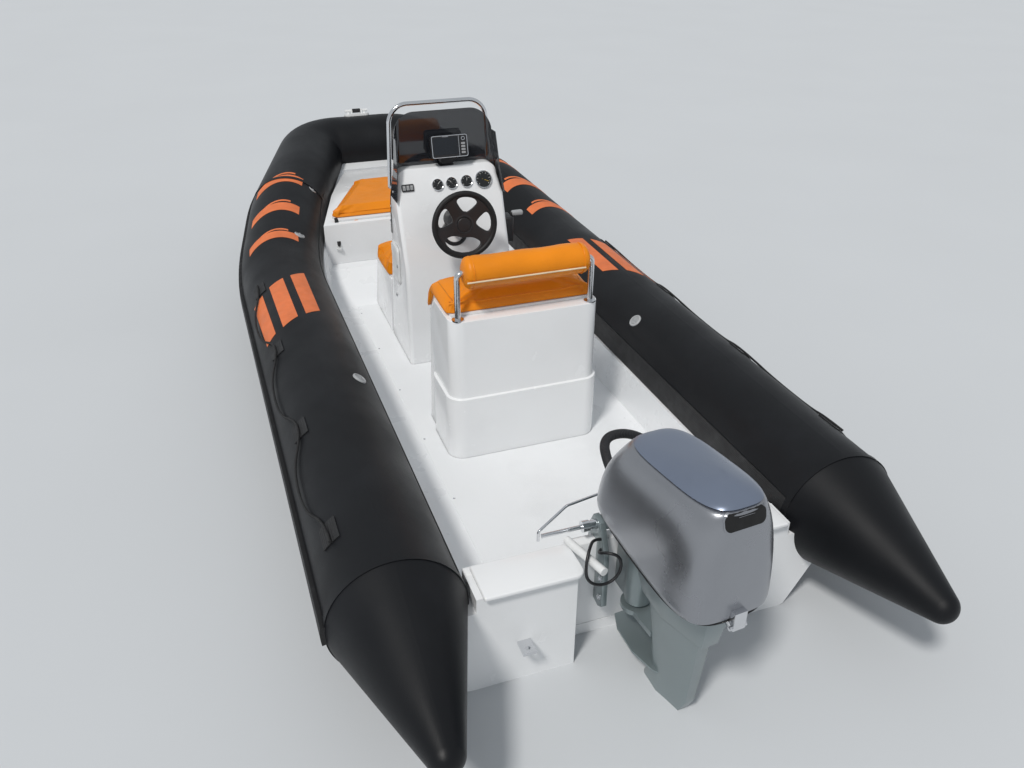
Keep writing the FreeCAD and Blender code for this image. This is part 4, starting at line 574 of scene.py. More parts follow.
BODY_OF = {name: body for body, members in frame["record"]["behaviour"]["bodies"].items()
           for name in members}
SLOT_OF = {part["node"]: part["material_slot"] for part in frame["record"]["subparts"]}
for node_name, node_slot in SLOT_OF.items():
    node_data = nodes[node_name].data
    node_data.materials.clear()
    node_data.materials.append(MATERIALS[node_slot])
nodes["cockpit_liner"].data.materials[0] = LINER_WHITE


# Tube centre line

PATCH_LIFT = 0.0012        # outer face of the graphics above the tube's skin
BAND_LIFT = 0.0016         # outer face of the tapes above the tube's skin


def centre_line():
    """Points and directions along the port tube, from the stern to the bow."""
    corners = [p for p, _ in TUBE_RUN]
    out = []
    here = corners[0]
    for i in range(1, len(corners) - 1):
        back = (corners[i - 1] - corners[i]).normalized()
        ahead = (corners[i + 1] - corners[i]).normalized()
        turn = math.pi - back.angle(ahead)
        reach = TUBE_RUN[i][1] * math.tan(turn / 2)
        start, end = corners[i] + back * reach, corners[i] + ahead * reach
        centre = corners[i] + (back + ahead).normalized() * math.hypot(TUBE_RUN[i][1], reach)
        for step in range(40):
            out.append(here.lerp(start, step / 40))
        for step in range(24):
            share = step / 24
            spoke = ((start - centre) * math.sin((1 - share) * turn)
                     + (end - centre) * math.sin(share * turn)) / math.sin(turn)
            out.append(centre + spoke)
        here = end
    for step in range(21):
        out.append(here.lerp(corners[-1], step / 20))
    return out


CENTRE_LINE = centre_line()
CENTRE_REACH = [0.0]
for first_point, next_point in zip(CENTRE_LINE, CENTRE_LINE[1:]):
    CENTRE_REACH.append(CENTRE_REACH[-1] + (next_point - first_point).length)
TUBE_TREE = tree_of("tube_port", "tube_bow", "cone_port")


def along_tube(reach):
    """Centre, outboard and upward directions at a distance along the port tube."""
    reach = min(max(reach, 1e-4), CENTRE_REACH[-1] - 1e-4)
    i = next(k for k in range(1, len(CENTRE_REACH)) if CENTRE_REACH[k] >= reach)
    a, b = CENTRE_LINE[i - 1], CENTRE_LINE[i]
    centre = a.lerp(b, (reach - CENTRE_REACH[i - 1]) / (CENTRE_REACH[i] - CENTRE_REACH[i - 1]))
    way = (b - a).normalized()
    up = (Vector((0, 0, 1)) - way * way.z).normalized()
    return centre, up.cross(way), up


def reach_at(x):
    """Distance along the tube where its centre line passes a station x."""
    for i in range(1, len(CENTRE_LINE)):
        if CENTRE_LINE[i].x >= x:
            share = (x - CENTRE_LINE[i - 1].x) / (CENTRE_LINE[i].x - CENTRE_LINE[i - 1].x)
            return CENTRE_REACH[i - 1] + share * (CENTRE_REACH[i] - CENTRE_REACH[i - 1])
    return CENTRE_REACH[-1]


def on_skin(reach, angle, lift):
    """Point above the port tube's skin, by angle from outboard upward."""
    centre, outward, up = along_tube(reach)
    a = math.radians(angle)
    way = outward * math.cos(a) + up * math.sin(a)
    hit = TUBE_TREE.ray_cast(centre, way, 0.4)[0]
    radius = (hit - centre).length if hit else TUBE_R
    return centre + way * (radius + lift)


def skin_patch(name, corners, side, steps=(24, 10), bow=0.0):
    """A thin graphic on a tube between four corners of (x, angle), first two forward."""
    (x0, a0), (x1, a1), (x2, a2), (x3, a3) = corners
    points, faces = [], []
    columns, rows = steps
    for i in range(columns + 1):
        u = i / columns
        for j in range(rows + 1):
            v = j / rows
            x = (x0 * (1 - v) + x1 * v) * (1 - u) + (x3 * (1 - v) + x2 * v) * u
            angle = (a0 * (1 - v) + a1 * v) * (1 - u) + (a3 * (1 - v) + a2 * v) * u
            x += bow * 4 * v * (1 - v)
            point = on_skin(reach_at(x), angle, PATCH_LIFT)
            points.append((point.x, point.y * side, point.z))
    for i in range(columns):
        for j in range(rows):
            k = i * (rows + 1) + j
            quad = (k, k + 1, k + rows + 2, k + rows + 1)
            faces.append(quad if side < 0 else quad[::-1])
    mesh = made_mesh(name, points, faces)
    mesh = shape_with(mesh, ("SOLIDIFY", {"thickness": 0.0016, "offset": -1.0}))
    add(name, mesh, GRAPHIC, "boat")


def skin_band(name, reach, width, side):
    """A tape round a tube at a distance along it."""
    points, faces = [], []
    count = 72
    for i in range(count + 1):
        angle = 360 * i / count
        for j in range(3):
            point = on_skin(reach + width * (j / 2 - 0.5), angle, BAND_LIFT)
            points.append((point.x, point.y * side, point.z))
    for i in range(count):
        for j in range(2):
            k = i * 3 + j
            quad = (k, k + 1, k + 4, k + 3)
            faces.append(quad if side > 0 else quad[::-1])
    mesh = made_mesh(name, points, faces)
    mesh = shape_with(mesh, ("SOLIDIFY", {"thickness": 0.0022, "offset": -1.0}))
    add(name, mesh, MATERIALS["tube_skin"], "boat")


# Cords

LINE_R = 0.005
LINE_PATCHES = (2.405, 1.705, 0.995, 0.330)
LINE_ANGLE = 48.0
LINE_LOW = 30.0
LINE_ON_PAD = TUBE_R + 0.0046 + LINE_R
LINE_HANGING = TUBE_R + 0.013
HOSE_R = 0.0185
HOSE_ROUTE = ((0.095, 0.036, 0.606), (0.250, 0.028, 0.640), (0.440, -0.040, 0.636),
              (0.490, -0.215, 0.582), (0.430, -0.390, 0.420), (0.3838, -0.4658, 0.1673))


def route_curve(name, points, radius=0.0):
    """One open smooth spline with the route's points as its control points."""
    curve = bpy.data.curves.new(name, "CURVE")
    curve.dimensions = "3D"
    curve.resolution_u = 12
    curve.bevel_depth = radius
    curve.bevel_resolution = 4
    curve.use_fill_caps = radius > 0
    spline = curve.splines.new("NURBS")
    spline.points.add(len(points) - 1)
    for point, co in zip(spline.points, points):
        point.co = (*co, 1)
    spline.order_u = 3
    spline.use_endpoint_u = True
    return curve


def line_length(points):
    return sum((Vector(b) - Vector(a)).length for a, b in zip(points, points[1:]))


def route_points(curve):
    """Points that a route's spline passes through."""
    mesh = mesh_of(curve)
    points = [v.co.copy() for v in mesh.vertices]
    bpy.data.meshes.remove(mesh)
    return points


def lifeline(side):
    def at(x, radius, angle):
        a = math.radians(angle)
        return (x, side * (TUBE_Y + radius * math.cos(a)), TUBE_Z + radius * math.sin(a))
    route = [at(LINE_PATCHES[0] + 0.055, LINE_ON_PAD, LINE_ANGLE)]
    for front, aft in zip(LINE_PATCHES, LINE_PATCHES[1:]):
        for share, angle, radius in ((0.09, LINE_ANGLE, LINE_ON_PAD), (0.3, LINE_LOW, LINE_HANGING),
                                     (0.7, LINE_LOW, LINE_HANGING), (0.91, LINE_ANGLE, LINE_ON_PAD)):
            route.append(at(front - share * (front - aft), radius, angle))
    route.append(at(LINE_PATCHES[-1] - 0.055, LINE_ON_PAD, LINE_ANGLE))
    name = "lifeline_port" if side > 0 else "lifeline_starboard"
    length = line_length(route_points(route_curve(name + "_route", route)))
    piece = linked(name + "_rope", route_curve(name + "_rope", route, LINE_R))
    piece.data.materials.append(MATERIALS["black_rope"])
    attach(piece, "boat")
    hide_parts(name)


def hose():
    """Corrugated hose that carries the engine's cables."""
    centre = route_points(route_curve("hose_route", HOSE_ROUTE))
    fine = []
    for a, b in zip(centre, centre[1:]):
        steps = max(1, round((b - a).length / 0.0021))
        fine += [a.lerp(b, i / steps) for i in range(steps)]
    fine.append(centre[-1])
    rings = []
    side = None
    reach = 0.0
    for i, point in enumerate(fine):
        way = (fine[min(i + 1, len(fine) - 1)] - fine[max(i - 1, 0)]).normalized()
        side = way.orthogonal() if side is None else side - way * side.dot(way)
        side.normalize()
        other = way.cross(side)
        if i:
            reach += (point - fine[i - 1]).length
        radius = HOSE_R - 0.0012 + 0.0012 * math.cos(reach / 0.0085 * 2 * math.pi)
        rings.append([point + (side * math.cos(a) + other * math.sin(a)) * radius
                      for a in (2 * math.pi * k / 20 for k in range(20))])
    piece = add("engine_hose", loft("engine_hose", rings), MATERIALS["black_plastic"], "boat",
                ("rigging_hose",), 60.0)
    piece.parent = None
    del piece["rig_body"]
    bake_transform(piece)


LOOP_R = 0.0055
LOOP_ROUTE = ((0.088, 0.118, 0.462), (0.080, 0.150, 0.478), (0.030, 0.188, 0.492), (-0.006, 0.216, 0.452),
              (-0.010, 0.212, 0.388), (-0.012, 0.166, 0.350), (-0.012, 0.110, 0.358), (-0.012, 0.084, 0.404),
              (-0.010, 0.092, 0.458), (0.004, 0.130, 0.474), (0.050, 0.150, 0.440), (0.084, 0.118, 0.420))


def bracket_loop():
    """Loop of cable at the port side of the engine's bracket."""
    length = line_length(route_points(route_curve("loop_route", LOOP_ROUTE)))
    piece = linked("bracket_cable", route_curve("bracket_cable", LOOP_ROUTE, LOOP_R))
    piece.data.materials.append(MATERIALS["black_plastic"])
    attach(piece, "boat")


# Tubes

STRIPES = (
    ((2.415, 92), (2.458, 111), (1.968, 112), (1.924, 94)),
    ((2.353, 62), (2.397, 82), (1.908, 84), (1.858, 64)),
    ((2.302, 31), (2.325, 50), (1.851, 53), (1.822, 36)),
)
# Curved bands: x at the outboard end, x at the inboard end, width along the tube
BANDS = ((3.560, 3.640, 0.085), (3.235, 3.300, 0.085), (2.905, 2.960, 0.085))
VALVES = (
    (3.620, 0.576, 0.620, 1),
    (3.020, 0.686, 0.620, 1),
    (1.300, 0.705, 0.550, 1),
    (1.440, 0.729, 0.500, -1),
)


def tube_details():
    for side, word in ((1, "port"), (-1, "starboard")):
        for i, corners in enumerate(STRIPES):
            skin_patch(f"stripe_{word}_{i}", corners, side)
        for i, (x_out, x_in, width) in enumerate(BANDS):
            corners = ((x_out + width, 44), (x_in + width, 118), (x_in, 118), (x_out, 44))
            skin_patch(f"band_{word}_{i}", corners, side, steps=(6, 28), bow=0.045)
            thin = ((x_out + width + 0.045, 62), (x_in + width + 0.045, 104),
                    (x_in + width + 0.028, 104), (x_out + width + 0.028, 62))
            skin_patch(f"band_line_{word}_{i}", thin, side, steps=(3, 20), bow=0.030)
        for i, (x, width) in enumerate(((0.062, 0.032), (3.70, 0.030))):
            skin_band(f"girth_tape_{word}_{i}", reach_at(x), width, side)
    valve_meshes = []
    for x, y, z, side in VALVES:
        centre = along_tube(reach_at(x))[0]
        out = Vector((0, y - centre.y, z - centre.z)).normalized()
        base = centre + out * (TUBE_R + 0.0005)
        if side < 0:
            base.y, out.y = -base.y, -out.y
        place = facing(base, out)
        ring = lathe("ring", ((0.018, -0.006), (0.032, -0.006), (0.032, 0.003), (0.029, 0.006),
                              (0.025, 0.0064), (0.023, 0.003), (0.018, 0.003)), place, 40)
        cap = lathe("cap", ((0.0216, -0.004), (0.0216, 0.004), (0.020, 0.0060), (0.012, 0.0066),
                            (0.004, 0.0066)), place, 40)
        grip = block("grip", (-0.017, -0.003, 0.004), (0.017, 0.003, 0.0098), 0.0012, place)
        valve_meshes += [numbered(ring, 0), numbered(cap, 1), numbered(grip, 1)]
    add("valves", joined("valves", valve_meshes), [MATERIALS["grey_plastic"], HANDLE_GREY], "boat",
        ("tube_valves",))


# Cushions

def inflate(mesh, pinned, cap):
    """Swell a closed shape under pressure, its resting side held, by no more than cap."""
    mesh = shape_with(mesh, ("REMESH", {"mode": "VOXEL", "voxel_size": 0.006, "use_smooth_shade": True}))
    rest = [v.co.copy() for v in mesh.vertices]
    holder = linked("soft", mesh)
    group = holder.vertex_groups.new(name="held")
    held = [v.index for v in mesh.vertices if pinned(v)]
    group.add(held, 1.0, "REPLACE")
    cloth = holder.modifiers.new("cloth", "CLOTH")
    settings = cloth.settings
    settings.quality = 4
    settings.mass = 0.25
    settings.tension_stiffness = 12.0
    settings.compression_stiffness = 12.0
    settings.shear_stiffness = 6.0
    settings.bending_stiffness = 0.6
    settings.use_pressure = True
    settings.uniform_pressure_force = 4.0
    settings.effector_weights.gravity = 0.0
    settings.vertex_group_mass = "held"
    scene = bpy.context.scene
    for number in range(1, 21):
        scene.frame_set(number)
    result = evaluated(holder)
    bpy.data.objects.remove(holder)
    scene.frame_set(1)
    for vertex, start in zip(result.vertices, rest):
        move = vertex.co - start
        if move.length > cap:
            vertex.co = start + move.normalized() * cap
    return result


def flatten_below(mesh, level):
    """Keep all points above a level."""
    for vertex in mesh.vertices:
        vertex.co.z = max(vertex.co.z, level)


def edge_bead(name, mesh, points, radius, material, body, cyclic=True):
    """A bead that follows the nearest places on a soft piece."""
    build = bmesh.new()
    build.from_mesh(mesh)
    tree = BVHTree.FromBMesh(build)
    build.free()
    line = []
    for point in points:
        line.append(tree.find_nearest(Vector(point))[0])
    for _ in range(3):
        line = [(line[i - 1] + line[i] * 2 + line[(i + 1) % len(line)]) / 4
                if cyclic or 0 < i < len(line) - 1 else line[i] for i in range(len(line))]
    return add(name, tube_mesh(name, line, radius, cyclic), material, body)


def dense(outline):
    """Points 12 mm apart round a closed outline in 3D."""
    points = []
    for a, b in zip(outline, outline[1:] + outline[:1]):
        a, b = Vector(a), Vector(b)
        count = max(1, round((b - a).length / 0.012))
        points += [a.lerp(b, i / count) for i in range(count)]
    return points


def prism(name, outline, low, high, inset=0.0):
    """A straight-sided solid over a plan outline."""
    middle = sum((Vector((*p, 0)) for p in outline), Vector()) / len(outline)
    rings = []
    for z in (low, high):
        ring = []
        for x, y in outline:
            way = Vector((x, y, 0)) - middle
            ring.append(middle + way * (1 - inset / max(way.length, 1e-6)) + Vector((0, 0, z)))
        rings.append(ring)
    return loft(name, rings)


def round_corners(corners, radius):
    """Round the corners of a plan outline."""
    out = []
    steps = 5
    for i, corner in enumerate(corners):
        here = Vector(corner)
        back = (Vector(corners[i - 1]) - here).normalized()
        ahead = (Vector(corners[(i + 1) % len(corners)]) - here).normalized()
        reach = radius / math.tan(back.angle(ahead) / 2)
        start, end = here + back * reach, here + ahead * reach
        for k in range(steps + 1):
            t = k / steps
            out.append(tuple(start * (1 - t) ** 2 + here * 2 * t * (1 - t) + end * t ** 2))
    return out


def bow_cushion():
    low, high = 0.5729, 0.6146
    corners = ((3.304, -0.434), (3.304, 0.434), (3.348, 0.459), (3.931, 0.208), (3.931, -0.208),
               (3.348, -0.459))
    outline = round_corners(corners, 0.016)
    mesh = inflate(prism("bow_cushion", outline, low, high - 0.005, 0.004),
                   lambda v: v.co.z < low + 0.004, 0.022)
    flatten_below(mesh, low)
    piece = add("bow_cushion_pad", mesh, MATERIALS["orange_vinyl"], "bow_lid",
                ("bow_cushion",), 180.0)
    for word, z in (("top", high - 0.004), ("foot", low + 0.008)):
        edge_bead(f"bow_cushion_seam_{word}", mesh, dense([(x, y, z) for x, y in outline]), 0.0022,
                  SEAM_THREAD if word == "foot" else MATERIALS["orange_vinyl"], "bow_lid")


def front_cushion():
    low, high = 0.5229, 0.6079
    outline = [(2.5845 + x, CONSOLE_Y + y) for x, y in rounded_rect(0.309, 0.588, 0.030)]
    mesh = inflate(prism("front_cushion", outline, low, high - 0.008, 0.006),
                   lambda v: v.co.z < low + 0.004, 0.024)
    flatten_below(mesh, low)
    piece = add("front_cushion_pad", mesh, MATERIALS["orange_vinyl"], "front_seat_lid",
                ("front_cushion",), 180.0)
    edge_bead("front_cushion_seam", mesh, dense([(x, y, high - 0.012) for x, y in outline]), 0.0026,
              MATERIALS["orange_vinyl"], "front_seat_lid")


# Side view of the helm seat's cushion: resting side, then the upper side, front to back
SEAT_UNDER = ((1.190, 0.8492), (1.4365, 0.8492), (1.5125, 0.7640), (1.5160, 0.7610))
SEAT_OVER = ((1.529, 0.7610), (1.528, 0.7880), (1.508, 0.8500), (1.478, 0.8830), (1.430, 0.8985),
             (1.385, 0.9010), (1.190, 0.9010))
SEAT_PAD_HALF = 0.334


def seat_cushion():
    side_view = list(SEAT_UNDER) + list(SEAT_OVER)
    steps = 24
    rings = []
    for i in range(steps + 1):
        y = -SEAT_PAD_HALF + 2 * SEAT_PAD_HALF * i / steps
        near_end = max(0.0, abs(y) - (SEAT_PAD_HALF - 0.045)) / 0.045
        pull = 0.026 * near_end ** 2.2
        ring = []
        for k, (x, z) in enumerate(side_view):
            upper = k >= len(SEAT_UNDER)
            ring.append(Vector((x - pull * (0.8 if x > 1.45 else -0.5), y, z - (pull if upper else 0) * 0.6)))
        rings.append(ring)
    under = [Vector((x, 0, z)) for x, z in SEAT_UNDER]

    def resting(vertex):
        point = Vector((vertex.co.x, 0, vertex.co.z))
        return min((point - closest(point, a, b)).length for a, b in zip(under, under[1:])) < 0.005
    mesh = inflate(loft("seat_cushion", rings), resting, 0.022)
    piece = add("seat_cushion_pad", mesh, MATERIALS["orange_vinyl"], "seat_lid",
                ("seat_cushion",), 180.0)
    for word, y in (("port", SEAT_PAD_HALF - 0.030), ("starboard", -SEAT_PAD_HALF + 0.030)):
        line = dense([(x, y, z) for x, z in SEAT_OVER])
        line = [p for p in line if p.z > 0.80 or p.x > 1.47][:-1]
        edge_bead(f"seat_seam_{word}", mesh, [p for p in line if p.z > 0.765], 0.0022, SEAM_THREAD,
                  "seat_lid", False)
    cross = [(1.455, -SEAT_PAD_HALF + 0.03 + i * 0.0127, 0.91) for i in range(49)]
    edge_bead("seat_seam_cross", mesh, cross, 0.0022, SEAM_THREAD, "seat_lid", False)
    aft = [(1.196, -SEAT_PAD_HALF + 0.02 + i * 0.013, 0.893) for i in range(50)]
    edge_bead("seat_piping_aft", mesh, aft, 0.0040, MATERIALS["orange_vinyl"], "seat_lid", False)


def closest(point, a, b):
    way = b - a
    share = min(1.0, max(0.0, (point - a).dot(way) / way.length_squared))
    return a + way * share


def backrest():
    """Padded roll on the frame, with a pale bead along it and seams round its ends."""
    x, z, half, radius = 1.153, 1.042, 0.273, 0.0655
    rings = []
    count = 72
    stations = 60
    rng = random.Random(4)
    wrinkle = [rng.uniform(-1, 1) for _ in range(40)]
    for i in range(stations + 1):
        y = -half + 2 * half * i / stations
        end = max(0.0, abs(y) - (half - 0.030)) / 0.030
        r = radius * math.sqrt(max(0.0, 1 - (0.86 * end) ** 2.6)) if end else radius
        ring = []
        for k in range(count):
            a = 2 * math.pi * k / count
            groove = math.exp(-((abs(y) - (half - 0.033)) / 0.004) ** 2) * 0.0035
            seam = math.exp(-((a - math.radians(196)) / 0.05) ** 2) * 0.0030
            ripple = 0.0010 * math.sin(a * 3 + wrinkle[i % 40]) * (0.4 + end)
            sag = 0.0015 * math.sin(y * 31 + 2 * math.cos(a))
            rr = r - groove - seam + ripple + sag
            ring.append(Vector((x + rr * math.cos(a), y, z + rr * math.sin(a))))
        rings.append(ring)
    mesh = loft("backrest", rings)
    piece = add("backrest_pad", mesh, MATERIALS["orange_vinyl"], "boat", ("backrest",), 70.0)
    turn = math.radians(196)
    line = [(x + (radius + 0.001) * math.cos(turn), -half + 0.03 + i * 0.0103,
             z + (radius + 0.001) * math.sin(turn)) for i in range(51)]
    add("backrest_piping", tube_mesh("backrest_piping", line, 0.0038), PIPING, "boat")
    for word, y in (("port", half - 0.033), ("starboard", -half + 0.033)):
        line = [(x + (radius - 0.001) * math.cos(a), y, z + (radius - 0.001) * math.sin(a))
                for a in (2 * math.pi * k / 60 for k in range(60))]
        add(f"backrest_seam_{word}", tube_mesh("seam", line, 0.0024, True), MATERIALS["orange_vinyl"],
            "boat")


# Helm

DASH_AT = Vector((2.160, 0.0, 1.0153))
DASH_RUN = Vector((0.4447, 0, 0.8957))
DASH_NORMAL = Vector((-0.8957, 0, 0.4447))
# Gauges: radius, y, distance up the dash, needle angle
GAUGES = ((0.030, 0.083, 0.071, 40), (0.030, 0.010, 0.073, -30), (0.031, -0.069, 0.075, 15),
          (0.045, -0.160, 0.076, 115))
LARGE_GAUGE = 0.04


def on_dash(y, up):
    """Matrix at a place on the dash, local Y up the dash and Z off it."""
    point = DASH_AT + Vector((0, y, 0)) + DASH_RUN * up
    return facing(point, DASH_NORMAL, DASH_RUN)


def gauges():
    meshes = []
    for rim, y, up, needle in GAUGES:
        place = on_dash(y, up)
        meshes.append(numbered(lathe("bezel", (
            (rim * 0.88, 0.006), (rim * 0.90, 0.0098), (rim * 0.95, 0.0106), (rim * 0.99, 0.0090),
            (rim, 0.005), (rim, 0.0006), (rim * 0.88, 0.0006)), place, 48), 0))
        meshes.append(numbered(lathe("dial", ((rim * 0.92, 0.001), (rim * 0.92, 0.0070),
                                              (0.0005, 0.0070)), place, 48), 1))
        ticks = 11 if rim > LARGE_GAUGE else 7
        for i in range(ticks):
            angle = math.radians(-130 + 260 * i / (ticks - 1))
            long = i % 2 == 0
            spin = place @ Matrix.Rotation(-angle, 4, "Z")
            inner = rim * (0.64 if long else 0.71)
            wide = 0.0009 if long else 0.0006
            meshes.append(numbered(block("tick", (-wide, inner, 0.0070), (wide, rim * 0.81, 0.0075),
                                         0.0002, spin, 1), 2))
        spin = place @ Matrix.Rotation(math.radians(-needle), 4, "Z")
        meshes.append(numbered(block("needle", (-0.0008, -rim * 0.15, 0.0076),
                                     (0.0008, rim * 0.62, 0.0082), 0.0003, spin, 1),
                               3 if rim > LARGE_GAUGE else 2))
        meshes.append(numbered(lathe("hub", ((rim * 0.10, 0.0072), (rim * 0.10, 0.0086),
                                             (0.0004, 0.0088)), place, 20), 1))
    add("gauge_set", joined("gauge_set", meshes),
        [MATERIALS["stainless"], MATERIALS["gauge_black"], MARK, NEEDLE], "boat",
        ("gauges",))


def switch_panel():
    place = on_dash(0.236, 0.070)
    meshes = [numbered(plate("face", [rounded_rect(0.060, 0.034, 0.005)], 0.0065, 0.0012, place), 0)]
    for x in (-0.019, 0.0, 0.019):
        spot = place @ Matrix.Translation((x, 0.0, 0.006)) @ Matrix.Rotation(math.radians(8), 4, "X")
        rocker = [rounded_rect(0.0135, 0.022, 0.002)]
        meshes.append(numbered(plate("rocker", rocker, 0.0032, 0.0008, spot), 1))
        dot = spot @ Matrix.Translation((0, 0.006, 0.003))
        meshes.append(numbered(plate("lamp", [rounded_rect(0.005, 0.0018, 0.0006)], 0.0006, 0.0002, dot), 2))
    add("switch_set", joined("switch_set", meshes), [MATERIALS["black_plastic"], HANDLE_GREY, MARK], "boat",
        ("switch_panel",))


def plotter():
    t = PLOTTER_TURN
    parts = [numbered(block("case", (-0.018, -0.092, 0.002), (0.020, 0.092, 0.108), 0.008, t, 4), 0)]
    aft = t @ facing((-0.0215, 0, 0.055), (-1, 0, 0))
    parts.append(numbered(plate("front", [rounded_rect(0.184, 0.106, 0.010)], 0.005, 0.0018, aft), 0))
    screen = aft @ Matrix.Translation((-0.021, 0.002, 0.0044))
    parts.append(numbered(plate("display", [rounded_rect(0.124, 0.082, 0.004)], 0.0012, 0.0004, screen), 1))
    rim = [rounded_rect(0.184, 0.106, 0.010), rounded_rect(0.179, 0.101, 0.0085)[::-1]]
    parts.append(numbered(plate("edge", rim, 0.0016, 0.0004, aft @ Matrix.Translation((0, 0, 0.0042))), 2))
    bar = aft @ Matrix.Translation((0.0475, 0, 0.0045))
    parts.append(numbered(plate("bar", [rounded_rect(0.0016, 0.098, 0.0006)], 0.001, 0.0003, bar), 2))
    knob = aft @ Matrix.Translation((0.069, 0.034, 0.0045))
    parts.append(numbered(lathe("knob", ((0.0105, 0), (0.0105, 0.002), (0.0095, 0.0055), (0.0002, 0.006)),
                                knob, 32), 2))
    parts.append(numbered(lathe("knob_face", ((0.0068, 0.005), (0.0068, 0.0068), (0.0002, 0.0070)),
                                knob, 32), 0))
    for i in range(4):
        key = aft @ Matrix.Translation((0.069, 0.010 - i * 0.0145, 0.0045))
        parts.append(numbered(plate("key", [rounded_rect(0.020, 0.009, 0.003)], 0.0018, 0.0006, key), 3))
    tag = aft @ Matrix.Translation((-0.02, 0.0475, 0.0045))
    parts.append(numbered(plate("tag", [rounded_rect(0.030, 0.0022, 0.0008)], 0.0006, 0.0002, tag), 2))
    rings = []
    for share in (0.0, 0.06, 0.5, 0.94, 1.0):
        wide = 0.024 + (0.056 - 0.024) * share ** 0.8
        x0 = 2.236 + (2.219 - 2.236) * share
        x1 = 2.278 + (2.259 - 2.278) * share
        z = 1.1606 + (1.214 - 1.1606) * share
        mid_y = 0.018 + (0.006 - 0.018) * share
        rings.append([Vector(((x0 + x1) / 2 + px, mid_y + py, z))
                      for px, py in rounded_rect(x1 - x0, 2 * wide, 0.010)])
    parts.append(numbered(loft("foot", rings), 0))
    foot = Matrix.Translation((2.257, 0.018, 1.1604))
    parts.append(numbered(plate("base", [rounded_rect(0.052, 0.070, 0.012)], 0.005, 0.0015, foot), 0))
    add("display_unit", joined("display_unit", parts),
        [MATERIALS["black_plastic"], SCREEN_GLASS, MATERIALS["stainless"], HANDLE_GREY], "boat",
        ("plotter",))


# Steering wheel: angles of the spokes, their half-width and the dish of their disc
SPOKES = (30, 105, 235, 310)
SPOKE_HALF = 0.0255
SPOKE_DISH = 0.016
RIM_R = 0.151
GRIP_R = 0.0138


def wheel_opening(first, last):
    """Rounded opening between two spokes, in the wheel's plane."""
    middle = math.radians((first + last) / 2)
    half = math.radians((last - first) / 2)
    points = []
    for i in range(48):
        t = 2 * math.pi * i / 48
        u = math.copysign(abs(math.cos(t)) ** 0.62, math.cos(t))
        v = math.copysign(abs(math.sin(t)) ** 0.62, math.sin(t))
        r = 0.0985 + v * 0.0395
        angle = middle + u * (half - math.asin(min(0.95, SPOKE_HALF / r)))
        points.append((r * math.cos(angle), r * math.sin(angle)))
    return points[::-1]


def steering_wheel():
    circle = [(0.146 * math.cos(a), 0.146 * math.sin(a))
              for a in (2 * math.pi * i / 96 for i in range(96))]
    gaps = [wheel_opening(a, b) for a, b in zip(SPOKES, SPOKES[1:] + (SPOKES[0] + 360,))]
    disc = plate("spokes", [circle] + gaps, 0.012, 0.0035)
    with editing(disc) as build:
        bmesh.ops.triangulate(build, faces=build.faces)
        for _ in range(2):
            long = [e for e in build.edges if e.calc_length() > 0.018]
            bmesh.ops.subdivide_edges(build, edges=long, cuts=1, use_grid_fill=False)
            bmesh.ops.triangulate(build, faces=build.faces)
        for vertex in build.verts:
            r = math.hypot(vertex.co.x, vertex.co.y)
            vertex.co.z += -0.006 - SPOKE_DISH * (1 - min(1.0, r / 0.140) ** 2)
    rim = []
    for i in range(96):
        a = 2 * math.pi * i / 96
        grip = GRIP_R + 0.0002 * math.cos(8 * a)
        round_grip = [2 * math.pi * k / 20 for k in range(20)]
        rim.append([Vector(((RIM_R + grip * math.cos(b)) * math.cos(a),
                            (RIM_R + grip * math.cos(b)) * math.sin(a), GRIP_R * math.sin(b)))
                    for b in round_grip])
    rim.append(rim[0])
    ring = loft("rim", rim, False)
    with editing(ring) as build:
        bmesh.ops.remove_doubles(build, verts=build.verts, dist=1e-6)
    same = Matrix.Identity(4)
    hub = lathe("hub", ((0.050, -0.034), (0.058, -0.030), (0.0635, -0.022), (0.058, -0.013),
                        (0.044, -0.0065), (0.038, -0.0065), (0.035, -0.009), (0.0005, -0.007)), same, 48)
    cap = lathe("cap", ((0.0345, -0.010), (0.0345, -0.0065), (0.032, -0.0040), (0.0005, -0.0020)), same, 48)
    shaft = lathe("shaft", ((0.011, -0.094), (0.011, -0.030), (0.0005, -0.030)), same, 24)
    meshes = [numbered(disc, 0), numbered(ring, 1), numbered(hub, 0), numbered(cap, 0), numbered(shaft, 2)]
    add("helm_wheel", turned(joined("helm_wheel", meshes), WHEEL_TURN),
        [MATERIALS["black_plastic"], WHEEL_GRIP, MATERIALS["stainless"]], "wheel",
        ("steering_wheel",), 40.0)


def helm():
    """Ribbed boot and round housing behind the wheel."""
    profile = [(0.0485, -0.240), (0.0485, -0.134), (0.046, -0.130)]
    for i in range(6):
        z = -0.126 + i * 0.0145
        r = 0.0445 - i * 0.0032
        profile += [(r, z), (r - 0.0035, z + 0.006), (r - 0.0040, z + 0.009), (r - 0.0012, z + 0.0125)]
    profile += [(0.0245, -0.0405), (0.0118, -0.0402)]
    mesh = lathe("boot", profile, WHEEL_TURN, 48)
    flange = facing((2.098, 0.028, 0.856), (-0.93, 0, 0.367))
    ring = lathe("flange", ((0.068, -0.002), (0.068, 0.004), (0.064, 0.007), (0.050, 0.008),
                            (0.0485, -0.002)), flange, 48)
    add("helm_boot", joined("helm_boot", [mesh, ring]), MATERIALS["black_plastic"], "boat",
        ("helm",), 50.0)


